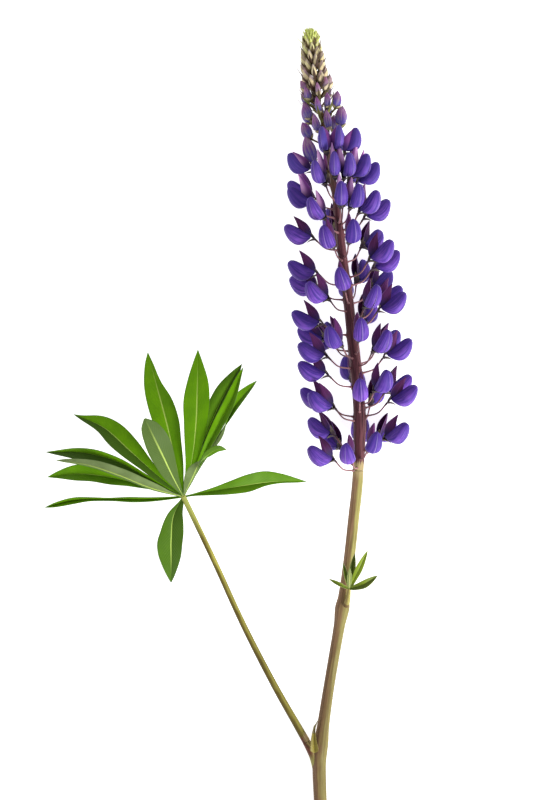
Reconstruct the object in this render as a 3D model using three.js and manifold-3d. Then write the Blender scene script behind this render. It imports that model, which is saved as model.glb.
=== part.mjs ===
// Garden lupin: one cut flowering stem with a palmate leaf, lying on a table.
// Millimetres, +Z up. X runs across the stem to the right, Y runs along it to the tip of the spike.
// The layout is measured from the foot of the flower spike, and the group then moves it so that
// the origin is the middle of the bottom of the whole plant.
import * as THREE from "three";
import { mergeVertices } from "three/addons/utils/BufferGeometryUtils.js";
import Module from "manifold-3d";

const wasm = await Module();
wasm.setup();

// Spine of the plant, as [place along Y, value]: how far it strays sideways, and its height.
const SPINE_ACROSS = [
  [-170.5, -18.2], [-147, -19], [-134, -17.8], [-115, -15.3], [-100, -12.8], [-72, -8.2],
  [-47.5, -4.5], [-22.5, -1.8], [0, 0], [18, 0.5], [40, 0], [70, -2], [100, -5],
  [130, -8.5], [160, -13.5], [190, -19.5], [210, -22.6], [221, -23.6],
];
const SPINE_HEIGHT = [
  [-170.5, 3], [-134, 7], [-72, 13.5], [-22.5, 18.8], [18, 22.2], [70, 23.4],
  [130, 22.6], [190, 20.2], [221, 18.6],
];
// Radius of the leafy stem, with its two thicker joints, and of the flower-bearing axis above it.
const STEM_RADIUS = [
  [-170.5, 3.3], [-150, 3.5], [-139, 4], [-130, 3.1], [-100, 2.8], [-78, 2.9],
  [-70, 3.5], [-63, 3], [-30, 2.7], [0, 2.6],
];
const RACHIS_RADIUS = [[0, 2.9], [55, 2.8], [90, 2.3], [120, 1.9], [145, 1.4], [165, 1.15], [219, 0.6]];

const STEM_FOOT = -170.5;
const RACEME_FOOT = 0;
const BUD_TIP_FOOT = 160;
const SPIKE_END = 218.5;
const CLEARANCE = 0.3;
const STEM_SIDES = 10;
const TIP_SIDES = 6;
const STEM_STEP = 9;
const RACHIS_STEP = 14;
// The slab under the table top that all pieces are trimmed with.
const TABLE = { width: 600, length: 900, thickness: 60 };

// Open florets: height of each whorl above the foot of the spike, and the bearings of its florets.
// A bearing of 0 looks straight up, 90 to the right, -90 to the left and 180 at the table.
const WHORLS = [
  { height: 2.4, bearings: [-172, -112, -58, -14, 148] },
  { height: 6.4, bearings: [14] },
  { height: 10, bearings: [56, 118] },
  { height: 14, bearings: [-128] },
  { height: 25, bearings: [-58, 152] },
  { height: 29, bearings: [-90, 78, 178] },
  { height: 33, bearings: [2, 104] },
  { height: 36, bearings: [36] },
  { height: 41, bearings: [-164, -76] },
  { height: 49.5, bearings: [82] },
  { height: 53, bearings: [-70, 26, 122] },
  { height: 59, bearings: [-164, -112, -24] },
  { height: 61.5, bearings: [-140, 14] },
  { height: 66, bearings: [-84, 150] },
  { height: 73.5, bearings: [34, 80] },
  { height: 78.5, bearings: [-47, 103, 175] },
  { height: 86, bearings: [-102, -8, 130, 164] },
  { height: 93, bearings: [-78] },
  { height: 97, bearings: [62, 96] },
  { height: 104, bearings: [-172, 134] },
  { height: 109, bearings: [-163, -82, -24, 9] },
  { height: 118, bearings: [94] },
  { height: 123, bearings: [-38, 60, 160] },
  { height: 127, bearings: [-76, 2, 34] },
  { height: 132, bearings: [-108] },
  { height: 137, bearings: [-145, -30, 84, 138] },
  { height: 141, bearings: [4, 38, 60] },
  { height: 145, bearings: [-84] },
  { height: 149, bearings: [-60] },
  { height: 152, bearings: [-150, -14, 34, 84, 150] },
];
// How far one floret may stray from its place: height, and degrees for the angles.
const SPREAD = { height: 0.9, bearing: 3, roll: 6, bannerTilt: 5 };

// One open floret in side view: angles are above the line that points straight out of the spike.
const PEDICEL = {
  length: 11.3, radius: 0.52, endRadius: 0.6, sunk: 1.4, startAngle: 14, endAngle: 46, endLift: 0.6,
};
const CALYX = { length: 3.2, radius: 1.53, angle: 36 };
const WINGS = { length: 15, angle: 22 };
// Rings of the purse that the two wings make: place along it, top, bottom and half width.
const WING_RINGS = [
  { along: 1, top: 1.5, bottom: -1.9, half: 1.7 },
  { along: 5.4, top: 2, bottom: -5.4, half: 3.4 },
  { along: 9.8, top: 1.8, bottom: -6.3, half: 3.8 },
  { along: 13.3, top: 1.2, bottom: -4.3, half: 2.6 },
];
const WING_TIP_DROP = -0.9;
// The six corners of such a ring: how far down its shoulder and belly lie, and how wide the shoulder is.
const PURSE = { shoulder: 0.34, belly: 0.74, shoulderWidth: 0.82 };
const BANNER = { angle: 60, mostAngle: 100, depth: 3.4, spread: 1.35, ridge: 1, thickness: 0.75 };
// Rings of the folded banner: place along it and share of its full width.
const BANNER_RINGS = [
  { along: 5.8, share: 1 },
  { along: 13.4, share: 0.3 },
];
// The banner grows out between this ring of the floret, which is the calyx, and the next.
const BANNER_SEAT = 3;
// Where the florets turn younger, they are smaller, more upright and less open.
const YOUTH = { from: 112, to: 166, size: 0.3, pedicel: 0.38, lift: 28, bannerFold: 4 };
const PRESSED_HEIGHT = -0.25;
const MOST_LIFT = 75;

// Unopened buds on a spiral, from the foot of the bud tip to its end.
const BUDS = {
  count: 44, firstBearing: 240, turn: 137.5, sides: 5, margin: 1.5, crowding: 0.92,
  sunk: 0.7, rootRadius: 0.5, neckRadius: 0.6, angleSpread: 5, lengthSpread: 0.07,
};
const BUD_LENGTH = [[0, 12], [0.35, 9.6], [0.7, 7.4], [1, 4.4]];
const BUD_RADIUS = [[0, 2.7], [0.35, 2.2], [0.7, 1.65], [1, 1.1]];
const BUD_STALK = [[0, 4.2], [0.4, 2.4], [0.75, 1.1], [1, 0.6]];
const BUD_ANGLE = [[0, 52], [0.4, 58], [0.75, 63], [1, 76]];
const BUD_OUTLINE = [
  { along: 0.2, share: 0.85 },
  { along: 0.6, share: 0.95 },
];

// The large leaf: its stalk from the lower joint to the hub, and its leaflets.
const LEAF_HUB = [-86.5, -13.5, 26.5];
const LEAF_STALK = [
  [-24.4, -136.55, 7.75], [-28.5, -130, 9.3], [-41.3, -107.5, 13.6], [-57, -77.5, 18.7],
  [-71, -47.5, 23], [-81.5, -25, 25.6], LEAF_HUB,
];
const LEAF_STALK_RADIUS = [[0, 1.9], [0.12, 1.6], [0.5, 1.3], [1, 1.15]];
const LEAF_STALK_SIDES = 8;
const LEAF_STALK_STEPS = 12;
// Each leaflet: tip, arch of its midrib upwards and bow to its right, half width, fold of its halves
// and roll about the midrib; a twist turns the outer part of it on by that much more.
const LEAFLETS = [
  { tip: [-104.3, 58, 14], arch: 5, bow: 1.3, half: 6.9, roll: 4, fold: 14 },
  { tip: [-79.6, 60, 21], arch: 6, bow: 2.9, half: 6.2, roll: -4, fold: 16 },
  { tip: [-57.6, 53, 4], arch: 2, bow: -3.8, half: 4.4, roll: -30, fold: 24 },
  { tip: [-56.6, 51.5, 25], arch: 6, bow: 1.4, half: 4.6, roll: -20, fold: 36 },
  { tip: [-50.2, 44.4, 12], arch: 6, bow: 1.2, half: 4.2, roll: -62, fold: 34, twist: 50 },
  { tip: [-65.4, 10.4, 48], arch: 10, bow: -3.2, half: 5.2, roll: 170, fold: 34, twist: -130 },
  { tip: [-25.3, -6, 9], arch: 7, bow: -2.1, half: 5.6, roll: -18, fold: 37 },
  { tip: [-93.4, -56.9, 0], arch: 5, bow: 3.1, half: 6.6, roll: -12, fold: 29 },
  { tip: [-156.7, -18.9, 3], arch: 4, bow: 2, half: 4.2, roll: 84, fold: 8 },
  { tip: [-155.2, -3.5, 5], arch: 6, bow: 1.2, half: 5.4, roll: 23, fold: 33 },
  { tip: [-150.5, 4.9, 19], arch: 8, bow: 1.6, half: 4.2, roll: 140, fold: 40 },
  { tip: [-156.5, 8.8, 9], arch: 10, bow: 3.4, half: 4.8, roll: 2, fold: 50 },
  { tip: [-141.9, 27.8, 17], arch: 8, bow: 1.4, half: 6.3, roll: 16, fold: 28 },
  { tip: [-106.5, 26.1, 58], arch: 4, bow: 0.6, half: 6.2, roll: 180, fold: 12, rounded: true },
];
const TWIST = { from: 0.42, to: 0.74 };
// Outline of a leaflet: place along the midrib and share of its full half width.
const LEAFLET_OUTLINE = [[0, 0.14], [0.2, 0.5], [0.42, 0.86], [0.63, 1], [0.84, 0.5], [1, 0.08]];
const ROUNDED_OUTLINE = [[0, 0.14], [0.2, 0.5], [0.42, 0.84], [0.66, 1], [0.9, 0.82], [1, 0.3]];
const SMALL_OUTLINE = [[0, 0.3], [0.35, 0.85], [0.7, 0.9], [1, 0.12]];
const BLADE_THICKNESS = 0.7;

// The small leaf at the upper joint, in front of the stem.
const YOUNG_HUB = [-3.9, -59.4, 21];
const YOUNG_STALK = [[-5.5, -68.2, 17.65], [-4.6, -65, 19.4], YOUNG_HUB];
const YOUNG_STALK_RADIUS = [[0, 1], [1, 0.75]];
const SMALL_STALK_SIDES = 6;
const YOUNG_STALK_STEPS = 3;
const YOUNG_LEAFLETS = [
  { tip: [-14, -54.4, 23], arch: 1.5, half: 1.2, roll: 20, fold: 30 },
  { tip: [-7, -46.3, 24.5], arch: 1.5, half: 1.5, roll: 50, fold: 34 },
  { tip: [-3.8, -48.5, 29], arch: 1, half: 1.4, roll: 180, fold: 20 },
  { tip: [-1.2, -41.7, 23.5], arch: 1.5, half: 1.7, roll: -40, fold: 34 },
  { tip: [5, -40.7, 28], arch: 1.8, half: 1.9, roll: 10, fold: 28 },
  { tip: [9.7, -53, 25], arch: 2, bow: 1.4, half: 1.6, roll: -20, fold: 36 },
];

// The stub that the large leaf sits on, and the small shoot in the angle above it.
const STUB = { from: [-19, -141.5, 6], to: [-23.9, -137.2, 7.5], startRadius: 2.8, endRadius: 2.1 };
const SHOOT_BLADES = [
  { foot: [-21.9, -136, 12.2], tip: [-20.6, -125.5, 14], arch: 0.8, half: 1.6, roll: 10, fold: 30 },
  { foot: [-21.7, -136, 12.4], tip: [-18.6, -122, 15.5], arch: 1.4, half: 0.9, roll: -14, fold: 20 },
];
const SHOOT_STALK = [[-20.8, -139.2, 10.8], [-21.4, -136.9, 11.7], [-21.7, -134.6, 12.6]];
const SHOOT_STALK_RADIUS = [[0, 1.2], [1, 0.9]];
const SHOOT_STALK_STEPS = 2;

const COLOURS = {
  stem: 0x93835a,
  raceme: 0x5a3a9a,
  bud_tip: 0xb9a98c,
  leaf: 0x5f9410,
  young_leaf: 0x8aa43c,
  axillary_shoot: 0x9a903e,
};
const ROUGHNESS = 0.6;

const radians = THREE.MathUtils.degToRad;
const point = (list) => new THREE.Vector3(...list);
const UP = new THREE.Vector3(0, 0, 1);

// Smooth value through [place, value] knots: each piece takes its slopes from the knots around it.
function through(knots, place) {
  let i = 1;
  while (i < knots.length - 1 && place > knots[i][0]) i += 1;
  const slope = (k) => {
    const before = knots[Math.max(k - 1, 0)];
    const after = knots[Math.min(k + 1, knots.length - 1)];
    return (after[1] - before[1]) / (after[0] - before[0]);
  };
  const [start, low] = knots[i - 1];
  const [end, high] = knots[i];
  const span = end - start;
  const t = (place - start) / span;
  const ease = t * t * (3 - 2 * t);
  const bendIn = t * (1 - t) * (1 - t) * span * slope(i - 1);
  const bendOut = t * t * (1 - t) * span * slope(i);
  return low * (1 - ease) + high * ease + bendIn - bendOut;
}

// A repeatable random number between -1 and 1 for each seed.
function draw(seed) {
  const wave = Math.sin(seed * 12.9898 + 4.1414) * 43758.5453;
  return 2 * (wave - Math.floor(wave)) - 1;
}

function spineAt(place) {
  return new THREE.Vector3(through(SPINE_ACROSS, place), place, through(SPINE_HEIGHT, place));
}

// Axes of the spine at a place: along it, to the right, and up from it.
function spineAxes(place) {
  const along = spineAt(place + 0.5).sub(spineAt(place - 0.5)).normalize();
  const right = along.clone().cross(UP).normalize();
  const up = right.clone().cross(along);
  return { along, right, up };
}

// Closed skin built ring by ring. Rings run anticlockwise about the way the skin goes.
class Skin {
  constructor() {
    this.points = [];
    this.index = [];
  }

  // Adds points and gives back their numbers.
  ring(points) {
    return points.map((each) => this.points.push(each) - 1);
  }

  // Faces between two rings of equal length; the places named in open stay open.
  between(low, high, open = []) {
    low.forEach((a, k) => {
      const next = (k + 1) % low.length;
      if (!open.includes(k)) this.index.push(a, low[next], high[next], a, high[next], high[k]);
    });
  }

  // Fan over the first ring or the last; the first point of the ring sees all the others.
  capStart(ring) {
    for (let k = 1; k + 1 < ring.length; k += 1) this.index.push(ring[0], ring[k + 1], ring[k]);
  }

  capEnd(ring) {
    for (let k = 1; k + 1 < ring.length; k += 1) this.index.push(ring[0], ring[k], ring[k + 1]);
  }

  capTip(ring, tip) {
    const top = this.points.push(tip) - 1;
    ring.forEach((a, k) => this.index.push(a, ring[(k + 1) % ring.length], top));
  }

  geometry() {
    return new THREE.BufferGeometry().setFromPoints(this.points).setIndex(this.index);
  }
}

function loft(rings, tip = null) {
  const skin = new Skin();
  const numbered = rings.map((ring) => skin.ring(ring));
  const last = numbered[numbered.length - 1];
  skin.capStart(numbered[0]);
  numbered.slice(1).forEach((ring, k) => skin.between(numbered[k], ring));
  if (tip) skin.capTip(last, tip);
  else skin.capEnd(last);
  return skin.geometry();
}

// Ring of points about a centre, given as [along first, along second] pairs.
function ringAt(centre, first, second, pairs) {
  return pairs.map(([a, b]) => centre.clone().addScaledVector(first, a).addScaledVector(second, b));
}

function circle(radius, sides) {
  return Array.from({ length: sides }, (_, k) => {
    const turn = ((k + 0.5) / sides) * 2 * Math.PI;
    return [radius * Math.cos(turn), radius * Math.sin(turn)];
  });
}

// Solid for joining and cutting.
function solid(geometry) {
  const bare = geometry.clone();
  bare.deleteAttribute("normal");
  bare.deleteAttribute("uv");
  const merged = mergeVertices(bare, 1e-4);
  return new wasm.Manifold(
    new wasm.Mesh({
      numProp: 3,
      vertProperties: new Float32Array(merged.attributes.position.array),
      triVerts: new Uint32Array(merged.index.array),
    }),
  );
}

// Joins neighbours two by two, which stays quick for many pieces.
function join(geometries) {
  let pieces = geometries.map(solid);
  while (pieces.length > 1) {
    const pairs = [];
    for (let k = 0; k < pieces.length; k += 2) {
      pairs.push(k + 1 < pieces.length ? pieces[k].add(pieces[k + 1]) : pieces[k]);
    }
    pieces = pairs;
  }
  return pieces[0];
}

// Everything under the table top is cut away, which leaves small flat spots to rest on.
function trimToTable(whole) {
  const slab = new THREE.BoxGeometry(TABLE.width, TABLE.length, TABLE.thickness);
  slab.translate(0, 0, -TABLE.thickness / 2);
  return whole.subtract(solid(slab));
}

function meshOf(name, whole) {
  const data = whole.getMesh();
  const geometry = new THREE.BufferGeometry();
  geometry.setAttribute("position", new THREE.BufferAttribute(new Float32Array(data.vertProperties), 3));
  geometry.setIndex(new THREE.BufferAttribute(new Uint32Array(data.triVerts), 1));
  geometry.computeVertexNormals();
  const material = new THREE.MeshStandardMaterial({
    color: COLOURS[name],
    roughness: ROUGHNESS,
    metalness: 0,
  });
  const mesh = new THREE.Mesh(geometry, material);
  mesh.name = name;
  return mesh;
}

// Round stalk along the spine between two places.
function spineTube(from, to, radiusKnots, sides, step) {
  const steps = Math.ceil((to - from) / step);
  const rings = [];
  for (let k = 0; k <= steps; k += 1) {
    const place = from + ((to - from) * k) / steps;
    const { right, up } = spineAxes(place);
    rings.push(ringAt(spineAt(place), up, right, circle(through(radiusKnots, place), sides)));
  }
  return loft(rings);
}

// Round stalk through hand-placed points.
function stalk(route, radiusKnots, sides, steps) {
  const curve = new THREE.CatmullRomCurve3(route.map(point));
  const rings = [];
  for (let k = 0; k <= steps; k += 1) {
    const t = k / steps;
    const along = curve.getTangent(t);
    const right = along.clone().cross(UP).normalize();
    const up = right.clone().cross(along);
    rings.push(ringAt(curve.getPoint(t), up, right, circle(through(radiusKnots, t), sides)));
  }
  return loft(rings);
}

// Leaf blade with two halves folded about an arched midrib, both faces split alike.
function blade({ foot, tip, arch, bow = 0, half, roll, fold, twist = 0 }, outline) {
  const start = point(foot);
  const end = point(tip);
  const sideways = end.clone().sub(start).cross(UP).normalize();
  const middle = start.clone().lerp(end, 0.5);
  middle.addScaledVector(UP, 2 * arch).addScaledVector(sideways, 2 * bow);
  const midrib = new THREE.QuadraticBezierCurve3(start, middle, end);
  const rings = outline.map(([t, share]) => {
    const along = midrib.getTangent(t);
    const turned = roll + twist * THREE.MathUtils.smoothstep(t, TWIST.from, TWIST.to);
    const right = along.clone().cross(UP).normalize().applyAxisAngle(along, radians(turned));
    const up = right.clone().cross(along);
    const reach = half * share * Math.cos(radians(fold));
    const rise = half * share * Math.sin(radians(fold));
    const thin = BLADE_THICKNESS / 2;
    const pairs = [
      [thin, 0], [rise + thin, reach], [rise - thin, reach],
      [-thin, 0], [rise - thin, -reach], [rise + thin, -reach],
    ];
    return ringAt(midrib.getPoint(t), up, right, pairs);
  });
  return loft(rings);
}

// Frame of one floret or bud: out of the spike, up the spike, and to its side.
function budFrame(height, bearing, roll) {
  const { along, right, up } = spineAxes(height);
  const out = up.clone().multiplyScalar(Math.cos(radians(bearing)));
  out.addScaledVector(right, Math.sin(radians(bearing)));
  const side = out.clone().cross(along);
  const climb = along.clone().applyAxisAngle(out, radians(roll));
  side.applyAxisAngle(out, radians(roll));
  const foot = spineAt(height).addScaledVector(out, through(RACHIS_RADIUS, height));
  return { out, climb, side, foot };
}

function inFrame(frame, reach, rise, aside) {
  return frame.foot
    .clone()
    .addScaledVector(frame.out, reach)
    .addScaledVector(frame.climb, rise)
    .addScaledVector(frame.side, aside);
}

// Six-sided ring about a place in side view, square to the given angle.
function profileRing(frame, centre, angle, top, bottom, half) {
  const turn = radians(angle);
  const shoulder = top - PURSE.shoulder * (top - bottom);
  const belly = top - PURSE.belly * (top - bottom);
  const narrow = PURSE.shoulderWidth * half;
  const pairs = [[top, 0], [shoulder, narrow], [belly, half], [bottom, 0], [belly, -half], [shoulder, -narrow]];
  return pairs.map(([v, s]) =>
    inFrame(frame, centre[0] - v * Math.sin(turn), centre[1] + v * Math.cos(turn), s),
  );
}

// Side view of a floret: where its stalk, calyx and wings begin, and their angles.
function floretPlan(height, lift) {
  const young = THREE.MathUtils.smoothstep(height, YOUTH.from, YOUTH.to);
  const size = 1 - YOUTH.size * young;
  const extra = lift + YOUTH.lift * young;
  const length = PEDICEL.length * (1 - YOUTH.pedicel * young);
  const steps = [
    { length: length / 2, angle: PEDICEL.startAngle + extra },
    { length: length / 2, angle: PEDICEL.endAngle + PEDICEL.endLift * extra },
    { length: CALYX.length * size, angle: CALYX.angle + extra },
  ];
  const places = [[0, 0]];
  steps.forEach((step, k) => {
    const [reach, rise] = places[k];
    const turn = radians(step.angle);
    places.push([reach + step.length * Math.cos(turn), rise + step.length * Math.sin(turn)]);
  });
  return { young, size, steps, places, wingAngle: WINGS.angle + extra };
}

function wingPlace(plan, along, across) {
  const turn = radians(plan.wingAngle);
  const [reach, rise] = plan.places[3];
  return [
    reach + plan.size * (along * Math.cos(turn) - across * Math.sin(turn)),
    rise + plan.size * (along * Math.sin(turn) + across * Math.cos(turn)),
  ];
}

// Lowest corner of the wings, which shows whether a floret would reach through the table.
function lowestOfWings(frame, plan) {
  const heights = WING_RINGS.flatMap(({ along, top, bottom, half }) =>
    [[top, 0], [bottom, 0], [bottom / 2, half], [bottom / 2, -half]].map(([across, aside]) =>
      inFrame(frame, ...wingPlace(plan, along, across), aside * plan.size).z,
    ),
  );
  const tip = inFrame(frame, ...wingPlace(plan, WINGS.length, WING_TIP_DROP), 0).z;
  return Math.min(tip, ...heights);
}

// A floret under the spike is pressed up the stem until it just rests on the table.
function pressedPlan(frame, height) {
  let lift = 0;
  let plan = floretPlan(height, lift);
  while (lowestOfWings(frame, plan) < PRESSED_HEIGHT && lift < MOST_LIFT) {
    lift += 1;
    plan = floretPlan(height, lift);
  }
  return { ...plan, lift };
}

// Rings of the stalk, the calyx and the purse that the two wings make.
function floretRings(frame, plan) {
  const { size, places, steps } = plan;
  const stalkRing = (centre, angle, radius) => profileRing(frame, centre, angle, radius, -radius, radius);
  const turn = radians(steps[0].angle);
  const sunk = [-PEDICEL.sunk * Math.cos(turn), -PEDICEL.sunk * Math.sin(turn)];
  const rings = [
    stalkRing(sunk, steps[0].angle, PEDICEL.radius),
    stalkRing(places[1], (steps[0].angle + steps[1].angle) / 2, PEDICEL.radius),
    stalkRing(places[2], steps[1].angle, PEDICEL.endRadius),
    stalkRing(places[3], plan.wingAngle, CALYX.radius * size),
  ];
  WING_RINGS.forEach(({ along, top, bottom, half }) => {
    rings.push(
      profileRing(frame, wingPlace(plan, along, 0), plan.wingAngle, top * size, bottom * size, half * size),
    );
  });
  return rings;
}

// Rings of the banner petal, bent back on itself lengthwise, with its ridge towards the wings.
function bannerRings(frame, plan, tilt) {
  const opening = BANNER.angle + tilt - YOUTH.bannerFold * plan.young;
  const turn = radians(Math.min(plan.wingAngle - WINGS.angle + opening, BANNER.mostAngle));
  const [reach, rise] = plan.places[3];
  return BANNER_RINGS.map(({ along, share }) => {
    const place = along * plan.size;
    const back = BANNER.depth * share * plan.size;
    const outer = BANNER.thickness / 2 + BANNER.spread * share;
    const inner = outer - BANNER.thickness;
    const ridge = -BANNER.ridge * share;
    const pairs = [
      [ridge + BANNER.thickness, 0], [back, inner], [back, outer],
      [ridge, 0], [back, -outer], [back, -inner],
    ];
    return pairs.map(([v, s]) =>
      inFrame(
        frame,
        reach + place * Math.cos(turn) - v * Math.sin(turn),
        rise + place * Math.sin(turn) + v * Math.cos(turn),
        s,
      ),
    );
  });
}

// One floret as a single skin: the banner grows out of the two faces on top of the calyx.
function floret(height, bearing, seed) {
  const spot = height + SPREAD.height * draw(seed);
  const turned = bearing + SPREAD.bearing * draw(seed + 0.5);
  const frame = budFrame(spot, turned, SPREAD.roll * draw(seed + 0.7));
  const plan = pressedPlan(frame, spot);
  const skin = new Skin();
  const rings = floretRings(frame, plan).map((ring) => skin.ring(ring));
  const tilt = SPREAD.bannerTilt * draw(seed + 0.9);
  const banner = bannerRings(frame, plan, tilt).map((ring) => skin.ring(ring));
  const sides = rings[0].length;
  const seatFaces = [0, sides - 1];
  skin.capStart(rings[0]);
  rings.slice(1).forEach((ring, k) => skin.between(rings[k], ring, k === BANNER_SEAT ? seatFaces : []));
  skin.capTip(rings[rings.length - 1], inFrame(frame, ...wingPlace(plan, WINGS.length, WING_TIP_DROP), 0));
  const calyx = rings[BANNER_SEAT];
  const wings = rings[BANNER_SEAT + 1];
  const seat = [calyx[0], calyx[1], wings[1], wings[0], wings[sides - 1], calyx[sides - 1]];
  [seat, ...banner.slice(0, -1)].forEach((ring, k) => skin.between(ring, banner[k]));
  skin.capEnd(banner[banner.length - 1]);
  return skin.geometry();
}

function bud(number) {
  const share = number / (BUDS.count - 1);
  const room = SPIKE_END - BUD_TIP_FOOT - 2 * BUDS.margin;
  const height = BUD_TIP_FOOT + BUDS.margin + room * share ** BUDS.crowding;
  const frame = budFrame(height, BUDS.firstBearing + number * BUDS.turn, 0);
  const angle = through(BUD_ANGLE, share) + BUDS.angleSpread * draw(number);
  const length = through(BUD_LENGTH, share) * (1 + BUDS.lengthSpread * draw(number + 0.3));
  const radius = through(BUD_RADIUS, share);
  const stalkLength = through(BUD_STALK, share);
  const turn = radians(angle);
  const place = (along) => [along * Math.cos(turn), along * Math.sin(turn)];
  const fiveSides = (centre, r) =>
    circle(r, BUDS.sides).map(([v, s]) =>
      inFrame(frame, centre[0] - v * Math.sin(turn), centre[1] + v * Math.cos(turn), s),
    );
  const rings = [
    fiveSides(place(-BUDS.sunk), BUDS.rootRadius),
    fiveSides(place(stalkLength), BUDS.neckRadius),
  ];
  BUD_OUTLINE.forEach(({ along, share: wide }) => {
    rings.push(fiveSides(place(stalkLength + along * length), wide * radius));
  });
  const [reach, rise] = place(stalkLength + length);
  return loft(rings, inFrame(frame, reach, rise, 0));
}

function makeStem() {
  const { from, to, startRadius, endRadius } = STUB;
  const stub = stalk([from, to], [[0, startRadius], [1, endRadius]], LEAF_STALK_SIDES, 1);
  return join([
    spineTube(STEM_FOOT, RACEME_FOOT - CLEARANCE, STEM_RADIUS, STEM_SIDES, STEM_STEP),
    stub,
  ]);
}

function makeRaceme() {
  const rachis = spineTube(RACEME_FOOT, BUD_TIP_FOOT, RACHIS_RADIUS, STEM_SIDES, RACHIS_STEP);
  const florets = WHORLS.flatMap(({ height, bearings }, row) =>
    bearings.map((bearing, k) => floret(height, bearing, 10 * row + k)),
  );
  return join([rachis, ...florets]);
}

function makeBudTip() {
  const rachis = spineTube(BUD_TIP_FOOT + CLEARANCE, SPIKE_END, RACHIS_RADIUS, TIP_SIDES, RACHIS_STEP);
  const buds = Array.from({ length: BUDS.count }, (_, number) => bud(number));
  return join([rachis, ...buds]);
}

function makeLeaf() {
  const blades = LEAFLETS.map((leaflet) =>
    blade({ foot: LEAF_HUB, ...leaflet }, leaflet.rounded ? ROUNDED_OUTLINE : LEAFLET_OUTLINE),
  );
  return join([stalk(LEAF_STALK, LEAF_STALK_RADIUS, LEAF_STALK_SIDES, LEAF_STALK_STEPS), ...blades]);
}

function makeYoungLeaf() {
  const blades = YOUNG_LEAFLETS.map((leaflet) => blade({ foot: YOUNG_HUB, ...leaflet }, SMALL_OUTLINE));
  return join([stalk(YOUNG_STALK, YOUNG_STALK_RADIUS, SMALL_STALK_SIDES, YOUNG_STALK_STEPS), ...blades]);
}

function makeShoot() {
  const blades = SHOOT_BLADES.map((each) => blade(each, SMALL_OUTLINE));
  return join([stalk(SHOOT_STALK, SHOOT_STALK_RADIUS, SMALL_STALK_SIDES, SHOOT_STALK_STEPS), ...blades]);
}

const lupin = new THREE.Group();
const makers = {
  stem: makeStem,
  raceme: makeRaceme,
  bud_tip: makeBudTip,
  leaf: makeLeaf,
  young_leaf: makeYoungLeaf,
  axillary_shoot: makeShoot,
};
for (const [name, make] of Object.entries(makers)) lupin.add(meshOf(name, trimToTable(make())));

const box = new THREE.Box3().setFromObject(lupin);
const middle = box.getCenter(new THREE.Vector3());
lupin.position.set(-middle.x, -middle.y, -box.min.z);

export default lupin;
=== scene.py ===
"""Finished look of a cut garden lupin: a violet flower spike with its palmate leaf, lying on a table.

Lengths are millimetres in the plant's own layout, whose origin is the foot of the flower spike, with
Y up the stem and Z up from the table. A piece is moved to the part's frame, in metres, when it is built.
"""

import logging
import math
from collections.abc import Sequence
from dataclasses import dataclass, field
from enum import Enum

import bpy
import numpy as np
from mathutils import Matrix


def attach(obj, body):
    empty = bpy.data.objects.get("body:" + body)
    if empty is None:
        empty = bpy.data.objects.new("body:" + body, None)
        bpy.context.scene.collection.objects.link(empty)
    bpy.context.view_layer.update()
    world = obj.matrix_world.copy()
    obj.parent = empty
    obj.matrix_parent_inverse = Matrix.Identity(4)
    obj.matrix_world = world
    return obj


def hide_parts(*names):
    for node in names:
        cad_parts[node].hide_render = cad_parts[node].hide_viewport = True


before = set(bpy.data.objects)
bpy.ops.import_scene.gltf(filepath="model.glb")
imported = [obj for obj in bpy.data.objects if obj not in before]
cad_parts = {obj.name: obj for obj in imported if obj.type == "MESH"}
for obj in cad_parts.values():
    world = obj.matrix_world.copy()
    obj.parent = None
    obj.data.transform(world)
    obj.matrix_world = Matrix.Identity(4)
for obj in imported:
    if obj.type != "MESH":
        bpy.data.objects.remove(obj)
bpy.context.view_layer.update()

LOG = logging.getLogger("lupin")

Array = np.ndarray
Number = float | Array
Colour = tuple[int, int, int]
Knots = Sequence[Sequence[float]]
Pair = tuple[float, float]
Point = tuple[float, float, float]
Socket = bpy.types.NodeSocket
Look = tuple[Socket, Socket]

MILLIMETRE = 0.001
LAYOUT_ORIGIN = np.array([64.08797, -25.67687, 0.0])
UP = np.array([0.0, 0.0, 1.0])
# Directions that no stalk and no hair runs along, from which their sides are found.
STALK_GUIDE = UP + [0.05, 0.02, 0.0]
HAIR_GUIDE = UP + [0.2, 0.1, 0.0]
TINY = 1e-12
DRAW_RATE, DRAW_SHIFT, DRAW_REACH = 12.9898, 4.1414, 43758.5453
BODY = "root"

STEM_FOOT = -170.5
RACEME_FOOT = 0.0
BUD_TIP_FOOT = 160.0
SPIKE_END = 218.5
CLEARANCE = 0.3

RACHIS_RADIUS = ((0, 2.7), (12, 3.0), (55, 2.9), (90, 2.4), (120, 2.0), (145, 1.5), (165, 1.2), (219, 0.6))


def through(knots: Knots, place: float, column: int = 1) -> float:
    """Smooth value through knots, each piece of it sloped by the knots around it.

    Args:
        knots: Rows of a place and its values, in rising order of place.
        place: Where the value is wanted.
        column: Which value of the rows is read.

    Returns:
        The value at that place.
    """
    i = 1
    while i < len(knots) - 1 and place > knots[i][0]:
        i += 1

    def slope(k: int) -> float:
        """Slope between the knots on both sides of knot k."""
        before, after = knots[max(k - 1, 0)], knots[min(k + 1, len(knots) - 1)]
        return (after[column] - before[column]) / (after[0] - before[0])

    start, end = knots[i - 1][0], knots[i][0]
    low, high = knots[i - 1][column], knots[i][column]
    span = end - start
    t = (place - start) / span
    ease = t * t * (3 - 2 * t)
    bend_in = t * (1 - t) * (1 - t) * span * slope(i - 1)
    bend_out = t * t * (1 - t) * span * slope(i)
    return low * (1 - ease) + high * ease + bend_in - bend_out


def curve(knots: Knots, places: Array, column: int = 1) -> Array:
    """The smooth value through knots at each of many places."""
    return np.array([through(knots, float(place), column) for place in np.ravel(places)])


def draw(seed: float) -> float:
    """A repeatable random number between -1 and 1 for each seed."""
    wave = math.sin(seed * DRAW_RATE + DRAW_SHIFT) * DRAW_REACH
    return 2 * (wave - math.floor(wave)) - 1


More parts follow.
